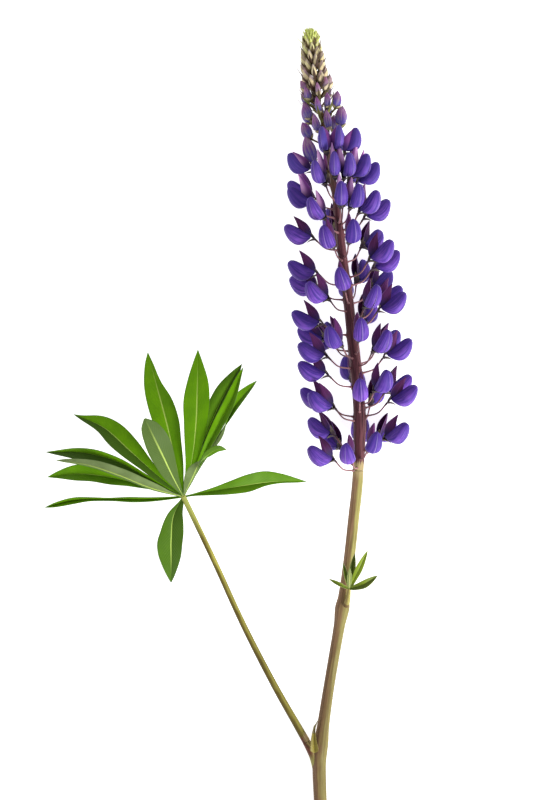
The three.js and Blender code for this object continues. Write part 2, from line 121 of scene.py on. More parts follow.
def smoothstep(value: Number, start: float, end: float) -> Number:
    """Eased share of the way from start to end, from 0 to 1."""
    t = np.clip((value - start) / (end - start), 0, 1)
    return t * t * (3 - 2 * t)


def unit(vector: Array) -> Array:
    """The vector, or each row of vectors, at length 1."""
    return vector / np.maximum(np.linalg.norm(vector, axis=-1, keepdims=True), TINY)


def turned(vector: Array, axis: Array, degrees: float) -> Array:
    """The vector turned about an axis of length 1 by the right-hand rule.

    Args:
        vector: What is turned.
        axis: What it is turned about.
        degrees: How far it is turned.

    Returns:
        The turned vector.
    """
    angle = math.radians(degrees)
    straight = vector * math.cos(angle)
    across = np.cross(axis, vector) * math.sin(angle)
    return straight + across + axis * float(axis @ vector) * (1 - math.cos(angle))


def tilted(along: Number, across: Number, angle: float) -> tuple[Number, Number]:
    """Reach and rise of places along and across a line that climbs at an angle."""
    return (along * math.cos(angle) - across * math.sin(angle),
            along * math.sin(angle) + across * math.cos(angle))


def turns(count: int) -> Array:
    """Angles of evenly spaced points round a ring."""
    return np.arange(count) / count * 2 * math.pi


def ring_about(centre: Array, first: Array, second: Array, radii: Array) -> Array:
    """Points round a centre, anticlockwise about first x second, at the given radii."""
    turn = turns(len(radii))
    return centre + (radii * np.cos(turn))[:, None] * first + (radii * np.sin(turn))[:, None] * second


def walked(points: Array) -> Array:
    """Distance from the first of a row of points, along the row, to each of them."""
    return np.concatenate([[0], np.cumsum(np.linalg.norm(np.diff(points, axis=0), axis=1))])


def smooth_route(points: Sequence[Sequence[float]], steps: int) -> Array:
    """Evenly spaced points on a smooth curve through a few given ones.

    Args:
        points: The given points.
        steps: Number of steps along the curve.

    Returns:
        A row for each point of the curve.
    """
    placed = np.array(points, float)
    reached = walked(placed)
    knots = np.column_stack([reached, placed])
    places = np.linspace(0, reached[-1], steps + 1)
    return np.column_stack([curve(knots, places, column) for column in (1, 2, 3)])


def tube_through(route: Array, radii: Array, sides: int) -> Array:
    """Rings of a round stalk through a row of points.

    Args:
        route: The points.
        radii: Radius at each point.
        sides: Points round each ring.

    Returns:
        Rings by points round each ring.
    """
    along = unit(np.gradient(route, axis=0))
    rings = []
    for centre, way, radius in zip(route, along, radii):
        right = unit(np.cross(way, STALK_GUIDE))
        rings.append(ring_about(centre, np.cross(right, way), right, np.full(sides, radius)))
    return np.array(rings)


def linear(colour: Colour) -> tuple[float, float, float, float]:
    """A display colour from 0 to 255 as the linear colour with alpha that shaders take."""
    shares = [channel / 255 for channel in colour]
    return (*(s / 12.92 if s <= 0.04045 else ((s + 0.055) / 1.055) ** 2.4 for s in shares), 1.0)


@dataclass(frozen=True)
class Spine:
    """The curved middle line of the stem and the spike."""

    across: Knots = (
        (-170.5, -18), (-147, -18.7), (-134, -17.4), (-115, -14.8), (-100, -12.4), (-72, -7.7),
        (-47.5, -4.2), (-22.5, -1.5), (-11, -0.2), (0, 0.6), (18, 1.3), (30, 1.2), (50, -0.5), (70, -2.7),
        (90, -5.0), (110, -7.6), (130, -9.9), (145, -12.0), (160, -14.6), (175, -17.4),
        (190, -20), (210, -22.7), (221, -23.4),
    )
    height: Knots = (
        (-170.5, 3), (-134, 7), (-72, 13.5), (-22.5, 18.8), (18, 22.2), (70, 23.4),
        (130, 22.6), (190, 20.2), (221, 18.6),
    )

    HALF_STEP = 0.5

    def at(self, place: float) -> Array:
        """The point of the middle line at a place along Y."""
        return np.array([through(self.across, place), place, through(self.height, place)])

    def axes(self, place: float) -> tuple[Array, Array, Array]:
        """Directions along the middle line, to its right and up from it.

        Args:
            place: Place along Y.

        Returns:
            The three directions.
        """
        along = unit(self.at(place + self.HALF_STEP) - self.at(place - self.HALF_STEP))
        right = unit(np.cross(along, UP))
        return along, right, np.cross(right, along)

    def rings(self, places: Array, radii: Array) -> Array:
        """Rings round the middle line at places along it, with a row of radii for each.

        Args:
            places: Places along Y.
            radii: Radii of each ring.

        Returns:
            Rings by points round each ring.
        """
        made = []
        for place, ring in zip(places, radii):
            _, right, up = self.axes(float(place))
            made.append(ring_about(self.at(float(place)), up, right, ring))
        return np.array(made)


SPINE = Spine()


@dataclass(frozen=True)
class Trait:
    """What a finish reads from a surface besides its own coordinates.

    Attributes:
        age: How young the tissue is, from 0 for fully open to 1; on a leaf it holds the share of painted
            shade instead.
        tint: A random number from 0 to 1 that sets it apart from its neighbours.
        seed: Shifts its streaks.
    """

    age: Number = 0.0
    tint: float = 0.5
    seed: float = 0.0

    SEED_REACH = 10

    @classmethod
    def drawn(cls, age: Number, tint: float, seed: float) -> "Trait":
        """A trait whose tint and streaks are drawn from two seeds."""
        return cls(age, 0.5 + 0.5 * draw(tint), cls.SEED_REACH * draw(seed))


class Sketch:
    """Gathers the closed skins of one piece, with the traits that its finish reads.

    Each vertex carries two vectors. "grain" holds its place across the surface, the seed of its
    streaks and its place along the surface. "trait" holds its age, which on a leaf is its share of painted
    shade, its tint and its face, which is 1 on the outer or upper face of a thin skin and 0 on the other one.
    """

    RIM_SHARE = 0.6
    SHARP_ABOVE = 55

    def __init__(self) -> None:
        """Starts an empty sketch."""
        self.points: list[Array] = []
        self.grains: list[Array] = []
        self.traits: list[Array] = []
        self.faces: dict[int, list[Array]] = {3: [], 4: []}
        self.count = 0

    def add(self, points: Array, faces: Sequence[Array], grain: Array, trait: Array) -> None:
        """Adds vertices and the faces between them.

        Args:
            points: Places of the vertices, one row each.
            faces: Arrays of triangles or quads, as numbers of the rows of points.
            grain: One row for each vertex.
            trait: One row for each vertex.
        """
        self.points.append(points.reshape(-1, 3))
        self.grains.append(grain.reshape(-1, 3))
        self.traits.append(trait.reshape(-1, 3))
        for some in faces:
            self.faces[some.shape[-1]].append(some.reshape(-1, some.shape[-1]) + self.count)
        self.count += len(self.points[-1])

    def shell(self, grid: Array, across: Array, along: Array, thickness: float, trait: Trait) -> None:
        """Adds a thin closed sheet around a grid of points, thinner towards its edges.

        Args:
            grid: Rows along the sheet by columns across it, of points.
            across: Place across the sheet, one number for each column.
            along: Place along the sheet, one number for each row.
            thickness: Thickness away from the edges.
            trait: Traits of the sheet.
        """
        rows, columns = grid.shape[:2]
        normal = unit(np.cross(np.gradient(grid, axis=0), np.gradient(grid, axis=1)))
        half = np.full((rows, columns, 1), thickness / 2)
        half[[0, -1], :] *= self.RIM_SHARE
        half[:, [0, -1]] *= self.RIM_SHARE
        points = np.concatenate([grid + normal * half, grid - normal * half])
        number = np.arange(rows * columns).reshape(rows, columns)
        under = number + rows * columns
        a, b, c, d = number[:-1, :-1], number[1:, :-1], number[1:, 1:], number[:-1, 1:]
        e, f, g, h = under[:-1, :-1], under[1:, :-1], under[1:, 1:], under[:-1, 1:]
        faces = [
            np.stack([a, b, c, d], -1),
            np.stack([e, h, g, f], -1),
            np.stack([b[:, 0], a[:, 0], e[:, 0], f[:, 0]], -1),
            np.stack([d[:, -1], c[:, -1], g[:, -1], h[:, -1]], -1),
            np.stack([a[0], d[0], h[0], e[0]], -1),
            np.stack([c[-1], b[-1], f[-1], g[-1]], -1),
        ]
        grain = np.zeros((2, rows, columns, 3))
        grain[..., 0] = across
        grain[..., 1] = trait.seed
        grain[..., 2] = along[:, None]
        marks = np.zeros((2, rows, columns, 3))
        marks[..., 0] = trait.age
        marks[..., 1] = trait.tint
        marks[0, ..., 2] = 1
        self.add(points, faces, grain, marks)

    def tube(self, rings: Array, along: Array, trait: Trait) -> None:
        """Adds a closed round skin through rings that run anticlockwise about its way.

        Args:
            rings: Rings by points round each ring.
            along: Place along the tube, one number for each ring.
            trait: Traits of the skin.
        """
        count, sides = rings.shape[:2]
        number = np.arange(count * sides).reshape(count, sides)
        after = np.roll(number, -1, axis=1)
        ends = np.array([count * sides, count * sides + 1])
        faces = [
            np.stack([number[:-1], after[:-1], after[1:], number[1:]], -1),
            np.stack([np.full(sides, ends[0]), after[0], number[0]], -1),
            np.stack([np.full(sides, ends[1]), number[-1], after[-1]], -1),
        ]
        points = np.concatenate([rings.reshape(-1, 3), rings[[0, -1]].mean(1)])
        grain = np.zeros((count, sides, 3))
        grain[..., 0] = np.cos(turns(sides)) + trait.seed
        grain[..., 1] = np.sin(turns(sides))
        grain[..., 2] = along[:, None]
        caps = np.array([[trait.seed, 0, along[0]], [trait.seed, 0, along[-1]]])
        marks = np.tile([trait.age, trait.tint, 1.0], (len(points), 1))
        self.add(points, faces, np.concatenate([grain.reshape(-1, 3), caps]), marks)

    def stalk(self, points: Sequence[Point], steps: int, radius: Knots, sides: int, trait: Trait) -> None:
        """Adds a round stalk along a smooth curve.

        Args:
            points: A few points that it passes through.
            steps: Number of steps along it.
            radius: Rows of a place along it, from 0 to 1, and its radius there.
            sides: Points round it.
            trait: Traits of its skin.
        """
        route = smooth_route(points, steps)
        along = np.linspace(0, 1, len(route))
        self.tube(tube_through(route, curve(radius, along), sides), along, trait)

    def hair(self, root: Array, way: Array, radius: float, trait: Trait) -> None:
        """Adds one thin pointed hair with three sides that stands on its root.

        Args:
            root: Where it stands.
            way: From its root to its point.
            radius: Radius at its root.
            trait: Traits of its skin.
        """
        first = unit(np.cross(way, HAIR_GUIDE))
        second = unit(np.cross(way, first))
        turn = turns(3)[:, None]
        base = root + radius * (np.cos(turn) * first + np.sin(turn) * second)
        points = np.concatenate([base, [root + way]])
        faces = np.array([[0, 2, 1], [0, 1, 3], [1, 2, 3], [2, 0, 3]])
        grain = np.array([[0, trait.seed, 0]] * 3 + [[0, trait.seed, 1]])
        self.add(points, [faces], grain, np.tile([trait.age, trait.tint, 1.0], (4, 1)))

    def build(self, name: str, finish: bpy.types.Material, node: str) -> None:
        """Makes the piece and puts it in the place of its CAD node.

        Args:
            name: Name of the piece.
            finish: Material of the piece.
            node: CAD node that the piece stands for, which is hidden.
        """
        points = np.concatenate(self.points)
        points[:, 2] = np.maximum(points[:, 2], 0)
        places = (points + LAYOUT_ORIGIN) * MILLIMETRE
        kinds = {size: np.concatenate(some) for size, some in self.faces.items() if some}
        corners = np.concatenate([some.ravel() for some in kinds.values()])
        sizes = np.concatenate([np.full(len(some), size) for size, some in kinds.items()])
        mesh = bpy.data.meshes.new(name)
        mesh.vertices.add(len(places))
        mesh.vertices.foreach_set("co", places.astype(np.float32).ravel())
        mesh.loops.add(len(corners))
        mesh.loops.foreach_set("vertex_index", corners.astype(np.int32))
        mesh.polygons.add(len(sizes))
        mesh.polygons.foreach_set("loop_start", (np.cumsum(sizes) - sizes).astype(np.int32))
        mesh.update(calc_edges=True)
        mesh.validate()
        for label, rows in (("grain", self.grains), ("trait", self.traits)):
            attribute = mesh.attributes.new(label, "FLOAT_VECTOR", "POINT")
            attribute.data.foreach_set("vector", np.concatenate(rows).astype(np.float32).ravel())
        mesh.polygons.foreach_set("use_smooth", np.ones(len(sizes), dtype=bool))
        mesh.set_sharp_from_angle(angle=math.radians(self.SHARP_ABOVE))
        mesh.materials.append(finish)
        piece = bpy.data.objects.new(name, mesh)
        bpy.context.scene.collection.objects.link(piece)
        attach(piece, BODY)
        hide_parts(node)
        LOG.info("%s: %d faces for %s", name, len(sizes), node)


class ShaderSketch:
    """Adds and wires the nodes of one shader tree in few words."""

    # Sockets of a colour mix by number, because mixes of other kinds share their names.
    MIX_SHARE, MIX_LOW, MIX_HIGH, MIX_RESULT = 0, 6, 7, 2

    def __init__(self, tree: bpy.types.NodeTree) -> None:
        """Starts on an empty or new tree."""
        self.tree = tree

    def feed(self, node: bpy.types.Node, values: dict[str | int, object]) -> None:
        """Gives inputs of a node, by name or number, an output to link or a plain value to hold.

        Args:
            node: The node.
            values: What each input gets, by its name or number.
        """
        for name, value in values.items():
            if isinstance(value, Socket):
                self.tree.links.new(value, node.inputs[name])
            else:
                node.inputs[name].default_value = value

    def node(self, kind: str, values: dict[str | int, object] | None = None,
             **settings: object) -> bpy.types.Node:
        """Adds a node of a kind with its settings, and feeds its inputs.

        Args:
            kind: Type of the node.
            values: What its inputs get.
            settings: Its other settings by name.

        Returns:
            The node.
        """
        made = self.tree.nodes.new(kind)
        for name, value in settings.items():
            setattr(made, name, value)
        self.feed(made, values or {})
        return made

    def math(self, operation: str, first: object, second: object = 0.0) -> Socket:
        """The result of a calculation on two numbers."""
        return self.node("ShaderNodeMath", {0: first, 1: second}, operation=operation).outputs[0]

    def times(self, first: object, second: object) -> Socket:
        """The product of two numbers."""
        return self.math("MULTIPLY", first, second)

    def swing(self, value: Socket, reach: float) -> Socket:
        """A number from 0 to 1 turned into one that lies round 0 and spans a reach."""
        return self.times(self.math("SUBTRACT", value, 0.5), reach)

    def band(self, value: object, start: object, end: object) -> Socket:
        """Eased rise from 0 at start to 1 at end."""
        values = {"Value": value, "From Min": start, "From Max": end}
        return self.node("ShaderNodeMapRange", values, interpolation_type="SMOOTHSTEP").outputs["Result"]

    def mix(self, low: Colour | Socket, high: Colour | Socket, share: object) -> Socket:
        """The colour that lies a share of the way from low to high.

        Args:
            low: Colour where the share is 0.
            high: Colour where it is 1.
            share: The share.

        Returns:
            The mixed colour.
        """
        low, high = (linear(each) if isinstance(each, tuple) else each for each in (low, high))
        values = {self.MIX_SHARE: share, self.MIX_LOW: low, self.MIX_HIGH: high}
        return self.node("ShaderNodeMix", values, data_type="RGBA").outputs[self.MIX_RESULT]

    def layered(self, base: Colour | Socket, *layers: tuple[Colour | Socket, Socket, float]) -> Socket:
        """Colours laid over each other.

        Args:
            base: The lowest colour.
            layers: Each colour over it, the mask that shows it and how much of it shows at most.

        Returns:
            What is seen from above.
        """
        seen = base
        for colour, mask, most in layers:
            seen = self.mix(seen, colour, mask if most == 1 else self.times(mask, most))
        return seen

    def parts(self, vector: Socket) -> tuple[Socket, Socket, Socket]:
        """The three numbers of a vector."""
        x, y, z = self.node("ShaderNodeSeparateXYZ", {0: vector}).outputs
        return x, y, z

    def read(self, name: str) -> Socket:
        """A vector that the mesh carries under a name."""
        return self.node("ShaderNodeAttribute", attribute_name=name).outputs["Vector"]

    def place(self, effect: "Effect", **values: object) -> dict[str, Socket]:
        """Places an effect's group with its values and gives its outputs by name."""
        made = self.node("ShaderNodeGroup", values, node_tree=effect.group())
        return {output.name: output for output in made.outputs}

    def streaks(self, fineness: float, stretch: float, start: float, end: float) -> dict[str, Socket]:
        """Places the streaks along the grain of the mesh."""
        return self.place(Effect.STREAKS, Grain=self.read("grain"), Fineness=fineness, Stretch=stretch,
                          Start=start, End=end)


class Effect(Enum):
    """An effect that several finishes share, each a node group that is built once."""

    STREAKS = "streaks"
    MOTTLE = "mottle"
    EDGE = "edge"

    def group(self) -> bpy.types.NodeTree:
        """The effect's node group.

        Returns:
            The group, which the first call builds.
        """
        tree = bpy.data.node_groups.get(self.value)
        if tree is None:
            tree = bpy.data.node_groups.new(self.value, "ShaderNodeTree")
            makers = {Effect.STREAKS: self._streaks, Effect.MOTTLE: self._mottle, Effect.EDGE: self._edge}
            makers[self](tree)
        return tree

    @staticmethod
    def _begin(tree: bpy.types.NodeTree, inputs: dict[str, float | None],
               outputs: Sequence[str]) -> tuple[ShaderSketch, dict[str, Socket]]:
        """Gives a group its sockets.

        Args:
            tree: The group.
            inputs: Value of each input, where None stands for a vector.
            outputs: Name of each output.

        Returns:
            A sketch on the group, and what its inputs bring in by name.
        """
        for name, value in inputs.items():
            kind = "NodeSocketVector" if value is None else "NodeSocketFloat"
            made = tree.interface.new_socket(name=name, in_out="INPUT", socket_type=kind)
            if value is not None:
                made.default_value = value
        for name in outputs:
            tree.interface.new_socket(name=name, in_out="OUTPUT", socket_type="NodeSocketFloat")
        sketch = ShaderSketch(tree)
        return sketch, {socket.name: socket for socket in sketch.node("NodeGroupInput").outputs}

    @staticmethod
    def _cloud(sketch: ShaderSketch, given: dict[str, Socket], values: dict[str, object]) -> None:
        """Ends a group with a noise as its height, and as its mask where the noise lies high.

        Args:
            sketch: Adds the nodes of the group.
            given: What its inputs bring in.
            values: What the noise gets.
        """
        noise = sketch.node("ShaderNodeTexNoise", values).outputs[0]
        mask = sketch.band(noise, given["Start"], given["End"])
        sketch.node("NodeGroupOutput", {"Mask": mask, "Height": noise})

    @classmethod
    def _streaks(cls, tree: bpy.types.NodeTree) -> None:
        """Fine streaks that run along a petal, a blade or a stalk.

        Args:
            tree: The new group.
        """
        inputs = {"Grain": None, "Fineness": 20.0, "Stretch": 1.5, "Start": 0.45, "End": 0.7}
        sketch, given = cls._begin(tree, inputs, ("Mask", "Height"))
        scales = (given["Fineness"], given["Fineness"], given["Stretch"])
        spread = [sketch.times(part, scale) for part, scale in zip(sketch.parts(given["Grain"]), scales)]
        vector = sketch.node("ShaderNodeCombineXYZ", dict(enumerate(spread))).outputs[0]
        cls._cloud(sketch, given, {"Vector": vector, "Scale": 1.0, "Detail": 3.0})

    @classmethod
    def _mottle(cls, tree: bpy.types.NodeTree) -> None:
        """Soft cloudy patches, with their size in millimetres.

        Args:
            tree: The new group.
        """
        sketch, given = cls._begin(tree, {"Size": 3.0, "Start": 0.35, "End": 0.65}, ("Mask", "Height"))
        vector = sketch.node("ShaderNodeTexCoord").outputs["Object"]
        scale = sketch.math("DIVIDE", 1 / MILLIMETRE, given["Size"])
        cls._cloud(sketch, given, {"Vector": vector, "Scale": scale, "Detail": 2.0})

    @classmethod
    def _edge(cls, tree: bpy.types.NodeTree) -> None:
        """The edges of a thin sheet, where its place across is near 1 or -1.

        Args:
            tree: The new group.
        """
        sketch, given = cls._begin(tree, {"Across": 0.0, "Start": 0.9, "End": 1.0}, ("Mask",))
        mask = sketch.band(sketch.math("ABSOLUTE", given["Across"]), given["Start"], given["End"])
        sketch.node("NodeGroupOutput", {"Mask": mask})


@dataclass(frozen=True)
class Skin:
    """What every finish has.

    Unevenness is how much the roughness changes from the lowest to the highest relief, and sheen how
    strongly fine down brightens the rims. The relief's height is in millimetres.
    """

    name: str
    roughness: float = 0.55
    unevenness: float = 0.3
    gloss: float = 0.2
    sheen: float = 0.0
    subsurface: float = 0.0
    relief: float = 0.0
    glow: float = 0.0

    BUMP_STRENGTH = 0.8
    SHEEN_ROUGHNESS = 0.4
    # How far red, green and blue light goes in the tissue, as shares of its depth.
    LIGHT_REACH = (1.0, 0.7, 0.6)
    LIGHT_DEPTH = 0.8

    def colour(self, sketch: ShaderSketch) -> Look:
        """What the finish looks like over the surface.

        Args:
            sketch: Adds the nodes.

        Returns:
            Colour, and height of the relief.
        """
        raise NotImplementedError

    def material(self) -> bpy.types.Material:
        """The finish as a material.

        Returns:
            The material.
        """
        made = bpy.data.materials.new(self.name)
        made.use_nodes = True
        sketch = ShaderSketch(made.node_tree)
        colour, height = self.colour(sketch)
        roughness = sketch.math("ADD", sketch.swing(height, self.unevenness), self.roughness)
        bump = sketch.node("ShaderNodeBump", {"Strength": self.BUMP_STRENGTH, "Height": height,
                                              "Distance": self.relief * MILLIMETRE})
        sketch.feed(made.node_tree.nodes["Principled BSDF"], {
            "Base Color": colour,
            "Roughness": roughness,
            "Normal": bump.outputs[0],
            "Specular IOR Level": self.gloss,
            "Emission Color": (1, 1, 1, 1),
            "Emission Strength": self.glow,
            "Sheen Weight": self.sheen,
            "Sheen Roughness": self.SHEEN_ROUGHNESS,
            "Subsurface Weight": self.subsurface,
            "Subsurface Radius": self.LIGHT_REACH,
            "Subsurface Scale": self.LIGHT_DEPTH * MILLIMETRE,
        })
        return made


@dataclass(frozen=True)
class WingSkin(Skin):
    """Violet wing petals with fine streaks, a painted highlight in the middle, painted shade on the upper
    edge and painted rim light on the lower edge.
    """

    body: Colour = (108, 66, 178)
    # Bright is a painted highlight, edge painted shade on the upper edge and a darker foot, and rim painted
    # rim light.
    bright: Colour = (150, 98, 216)
    dusk: Colour = (68, 48, 146)
    edge: Colour = (48, 34, 112)
    rim: Colour = (214, 190, 240)
    young: Colour = (94, 82, 170)
    blush: Colour = (136, 60, 140)
    inner: Colour = (126, 90, 180)

    def colour(self, sketch: ShaderSketch) -> Look:
        """Violet with a painted highlight in the middle of the petal and painted shade along its upper edge.

        Args:
            sketch: Adds the nodes.

        Returns:
            Colour, and height of the relief.
        """
        across, _, along = sketch.parts(sketch.read("grain"))
        age, tint, face = sketch.parts(sketch.read("trait"))
        streaks = sketch.streaks(15.0, 1.2, 0.44, 0.6)
        clouds = sketch.place(Effect.MOTTLE, Size=3.5)
        rim = sketch.place(Effect.EDGE, Across=across, Start=0.97, End=0.995)
        # Painted highlight across the middle of the petal.
        highlight_band = sketch.times(sketch.band(along, 0.1, 0.4), sketch.band(along, 1.0, 0.55))
        petal = sketch.layered(
            self.body,
            (self.bright, sketch.times(highlight_band, sketch.band(across, 0.1, 0.5)), 0.8),
            (self.dusk, streaks["Mask"], 0.8),
            (self.dusk, clouds["Mask"], 0.3),
            (self.dusk, tint, 0.6),
            (self.young, age, 0.7),
            # Painted shade along the upper edge; the layer after it darkens the foot.
            (self.edge, sketch.band(across, 0.16, 0.0), 0.55),
            (self.edge, sketch.band(along, 0.14, 0.0), 0.7),
            (self.blush, sketch.times(sketch.band(across, 0.4, 0.0), sketch.band(age, 0.5, 0.95)), 0.9),
            # Painted rim light: a pale lower edge where the backdrop's light would wrap round.
            (self.rim, rim["Mask"], 0.32),
        )
        return sketch.mix(self.inner, petal, sketch.band(face, 0.0, 1.0)), streaks["Height"]


@dataclass(frozen=True)
class BannerSkin(Skin):
    """Dark maroon banner petals that are blue at their foot and pink while they are young."""

    body: Colour = (72, 28, 66)
    bright: Colour = (122, 58, 126)
    foot: Colour = (40, 36, 88)
    rim: Colour = (150, 112, 168)
    young: Colour = (144, 78, 158)
    pink: Colour = (255, 192, 252)

    def colour(self, sketch: ShaderSketch) -> Look:
        """Maroon with lengthwise streaks and a thin pale margin.

        Args:
            sketch: Adds the nodes.

        Returns:
            Colour, and height of the relief.
        """
        across, _, along = sketch.parts(sketch.read("grain"))
        age, tint, _ = sketch.parts(sketch.read("trait"))
        streaks = sketch.streaks(9.0, 1.8, 0.42, 0.68)
        rim = sketch.place(Effect.EDGE, Across=across, Start=0.93, End=1.0)
        blend = sketch.mix(self.young, self.pink, sketch.band(sketch.math("ABSOLUTE", across), 0.75, 0.25))
        pale = sketch.times(sketch.band(age, 0.02, 0.2), sketch.band(age, 0.72, 0.58))
        petal = sketch.layered(
            self.body,
            (self.bright, tint, 0.6),
            (self.bright, streaks["Mask"], 0.5),
            (self.young, sketch.band(age, 0.6, 0.72), 0.8),
            (self.foot, sketch.band(along, 0.62, 0.12), 0.85),
            (blend, sketch.times(pale, sketch.band(along, 0.2, 0.6)), 0.9),
            (self.rim, rim["Mask"], 0.7),
        )
        return petal, streaks["Height"]


@dataclass(frozen=True)
class CalyxSkin(Skin):
    """Silky calyx lips, dark at their foot and green-brown at their points."""

    body: Colour = (66, 50, 62)
    tip: Colour = (146, 140, 104)
    silk: Colour = (150, 136, 134)

    def colour(self, sketch: ShaderSketch) -> Look:
        """Dusky skin under a veil of short pale hairs.

        Args:
            sketch: Adds the nodes.

        Returns:
            Colour, and height of the relief.
        """
        _, _, along = sketch.parts(sketch.read("grain"))
        streaks = sketch.streaks(14.0, 4.0, 0.5, 0.72)
        lip = sketch.layered(
            self.body,
            (self.tip, sketch.band(along, 0.35, 1.0), 0.85),
            (self.silk, streaks["Mask"], 0.45),
        )
        return lip, streaks["Height"]


@dataclass(frozen=True)
class KeelSkin(Skin):
    """The pale keel with its dark point, hidden between the wings."""

    body: Colour = (196, 184, 206)
    tip: Colour = (58, 38, 84)

    def colour(self, sketch: ShaderSketch) -> Look:
        """Pale along its length and dark at its point.

        Args:
            sketch: Adds the nodes.

        Returns:
            Colour, and height of the relief.
        """
        _, _, along = sketch.parts(sketch.read("grain"))
        clouds = sketch.place(Effect.MOTTLE, Size=1.5)
        return sketch.mix(self.body, self.tip, sketch.band(along, 0.6, 0.95)), clouds["Height"]


@dataclass(frozen=True, kw_only=True)
class StalkSkin(Skin):
    """Ribbed skin of a stem or stalk, of one colour where it faces left and another where it faces right, the
    right one partly its own colour and partly painted light.

    The colour of its foot ends at foot_reach along it and that of its tip begins at tip_reach. It has dark
    streaks, fineness of them round it and stretch of them along it, and shade darkens its lower half.
    """

    # The right colour is partly the stalk's own and partly painted light on its right-facing side.
    left: Colour
    right: Colour
    dark: Colour
    foot: Colour | None = None
    foot_right: Colour | None = None
    tip: Colour | None = None
    foot_reach: float = 0.0
    tip_reach: float = 1.0
    fineness: float = 5.0
    stretch: float = 6.0
    streaking: float = 0.5
    shade: float = 0.0

    def colour(self, sketch: ShaderSketch) -> Look:
        """Two sides that blend into each other in long streaks.

        Args:
            sketch: Adds the nodes.

        Returns:
            Colour, and height of the relief.
        """
        _, _, along = sketch.parts(sketch.read("grain"))
        streaks = sketch.streaks(self.fineness, self.stretch, 0.4, 0.66)
        clouds = sketch.place(Effect.MOTTLE, Size=7.0)
        # Where the surface faces right it takes the right colour: partly the stalk's own colour, partly
        # painted light from the right.
        side, _, _ = sketch.parts(sketch.node("ShaderNodeNewGeometry").outputs["Normal"])
        right_colour_and_light = sketch.band(sketch.math("ADD", side, sketch.swing(clouds["Height"], 0.9)), -0.35, 0.4)
        place = sketch.math("ADD", along, sketch.swing(streaks["Height"], 0.06))
        layers = [(self.right, right_colour_and_light, 1), (self.dark, streaks["Mask"], self.streaking)]
        if self.shade > 0:
            layers.append((self.dark, sketch.band(place, 0.8, 0.35), self.shade))
        if self.foot:
            foot = sketch.mix(self.foot, self.foot_right or self.foot, right_colour_and_light)
            layers.append((foot, sketch.band(place, self.foot_reach, self.foot_reach * 0.6), 1))
        if self.tip:
            layers.append((self.tip, sketch.band(place, self.tip_reach, 1.0), 1))
        return sketch.layered(self.left, *layers), streaks["Height"]


@dataclass(frozen=True)
class LeafSkin(Skin):
    """Green blade with a pale midrib and fine side veins, and a grey-green downy underside, both darkened by
    painted shade.
    """

    body: Colour = (118, 176, 6)
    deep: Colour = (98, 154, 8)
    # Painted shade of the upper face.
    painted_shade: Colour = (66, 96, 26)
    under: Colour = (158, 180, 118)
    # Painted shade of the underside, which also makes its mottle.
    under_mottle_and_shade: Colour = (86, 112, 50)
    midrib: Colour = (188, 214, 104)
    edge: Colour = (70, 96, 34)
    veins: float = 26.0

    def colour(self, sketch: ShaderSketch) -> Look:
        """Upper face and underside by which of them shows.

        Args:
            sketch: Adds the nodes.

        Returns:
            Colour, and height of the relief.
        """
        across, _, along = sketch.parts(sketch.read("grain"))
        shade_share, tint, face = sketch.parts(sketch.read("trait"))
        clouds = sketch.place(Effect.MOTTLE, Size=6.0)
        streaks = sketch.streaks(5.0, 5.0, 0.4, 0.62)
        edge = sketch.place(Effect.EDGE, Across=across, Start=0.93, End=1.0)
        distance = sketch.math("ABSOLUTE", across)
        slant = sketch.math("SUBTRACT", sketch.times(along, self.veins), sketch.times(distance, 5.0))
        wave = sketch.math("ABSOLUTE", sketch.math("SINE", sketch.times(slant, math.pi)))
        vein = sketch.times(sketch.band(wave, 0.3, 0.0), sketch.band(distance, 1.0, 0.3))
        upper = sketch.layered(
            self.body,
            (self.deep, clouds["Mask"], 0.6),
            (self.deep, tint, 0.5),
            (self.deep, streaks["Mask"], 0.3),
            # Painted shade: the upper face darkens by the share of shade that its half is given.
            (self.painted_shade, shade_share, 1),
            (self.midrib, vein, 0.1),
        )
        lower = sketch.layered(
            self.under,
            # Painted shade on the underside, the same way.
            (self.under_mottle_and_shade, shade_share, 1),
            (self.under_mottle_and_shade, clouds["Mask"], 0.3),
            (self.midrib, vein, 0.12),
        )
        line = sketch.times(sketch.band(distance, 0.075, 0.035), sketch.band(along, 1.05, 0.5))
        blade = sketch.layered(
            lower,
            (upper, sketch.band(face, 0.0, 1.0), 1),
            (self.edge, edge["Mask"], 0.55),
            (self.midrib, line, 1),
        )
        height = sketch.math("SUBTRACT", sketch.times(clouds["Height"], 0.5), sketch.times(vein, 0.6))
        return blade, height


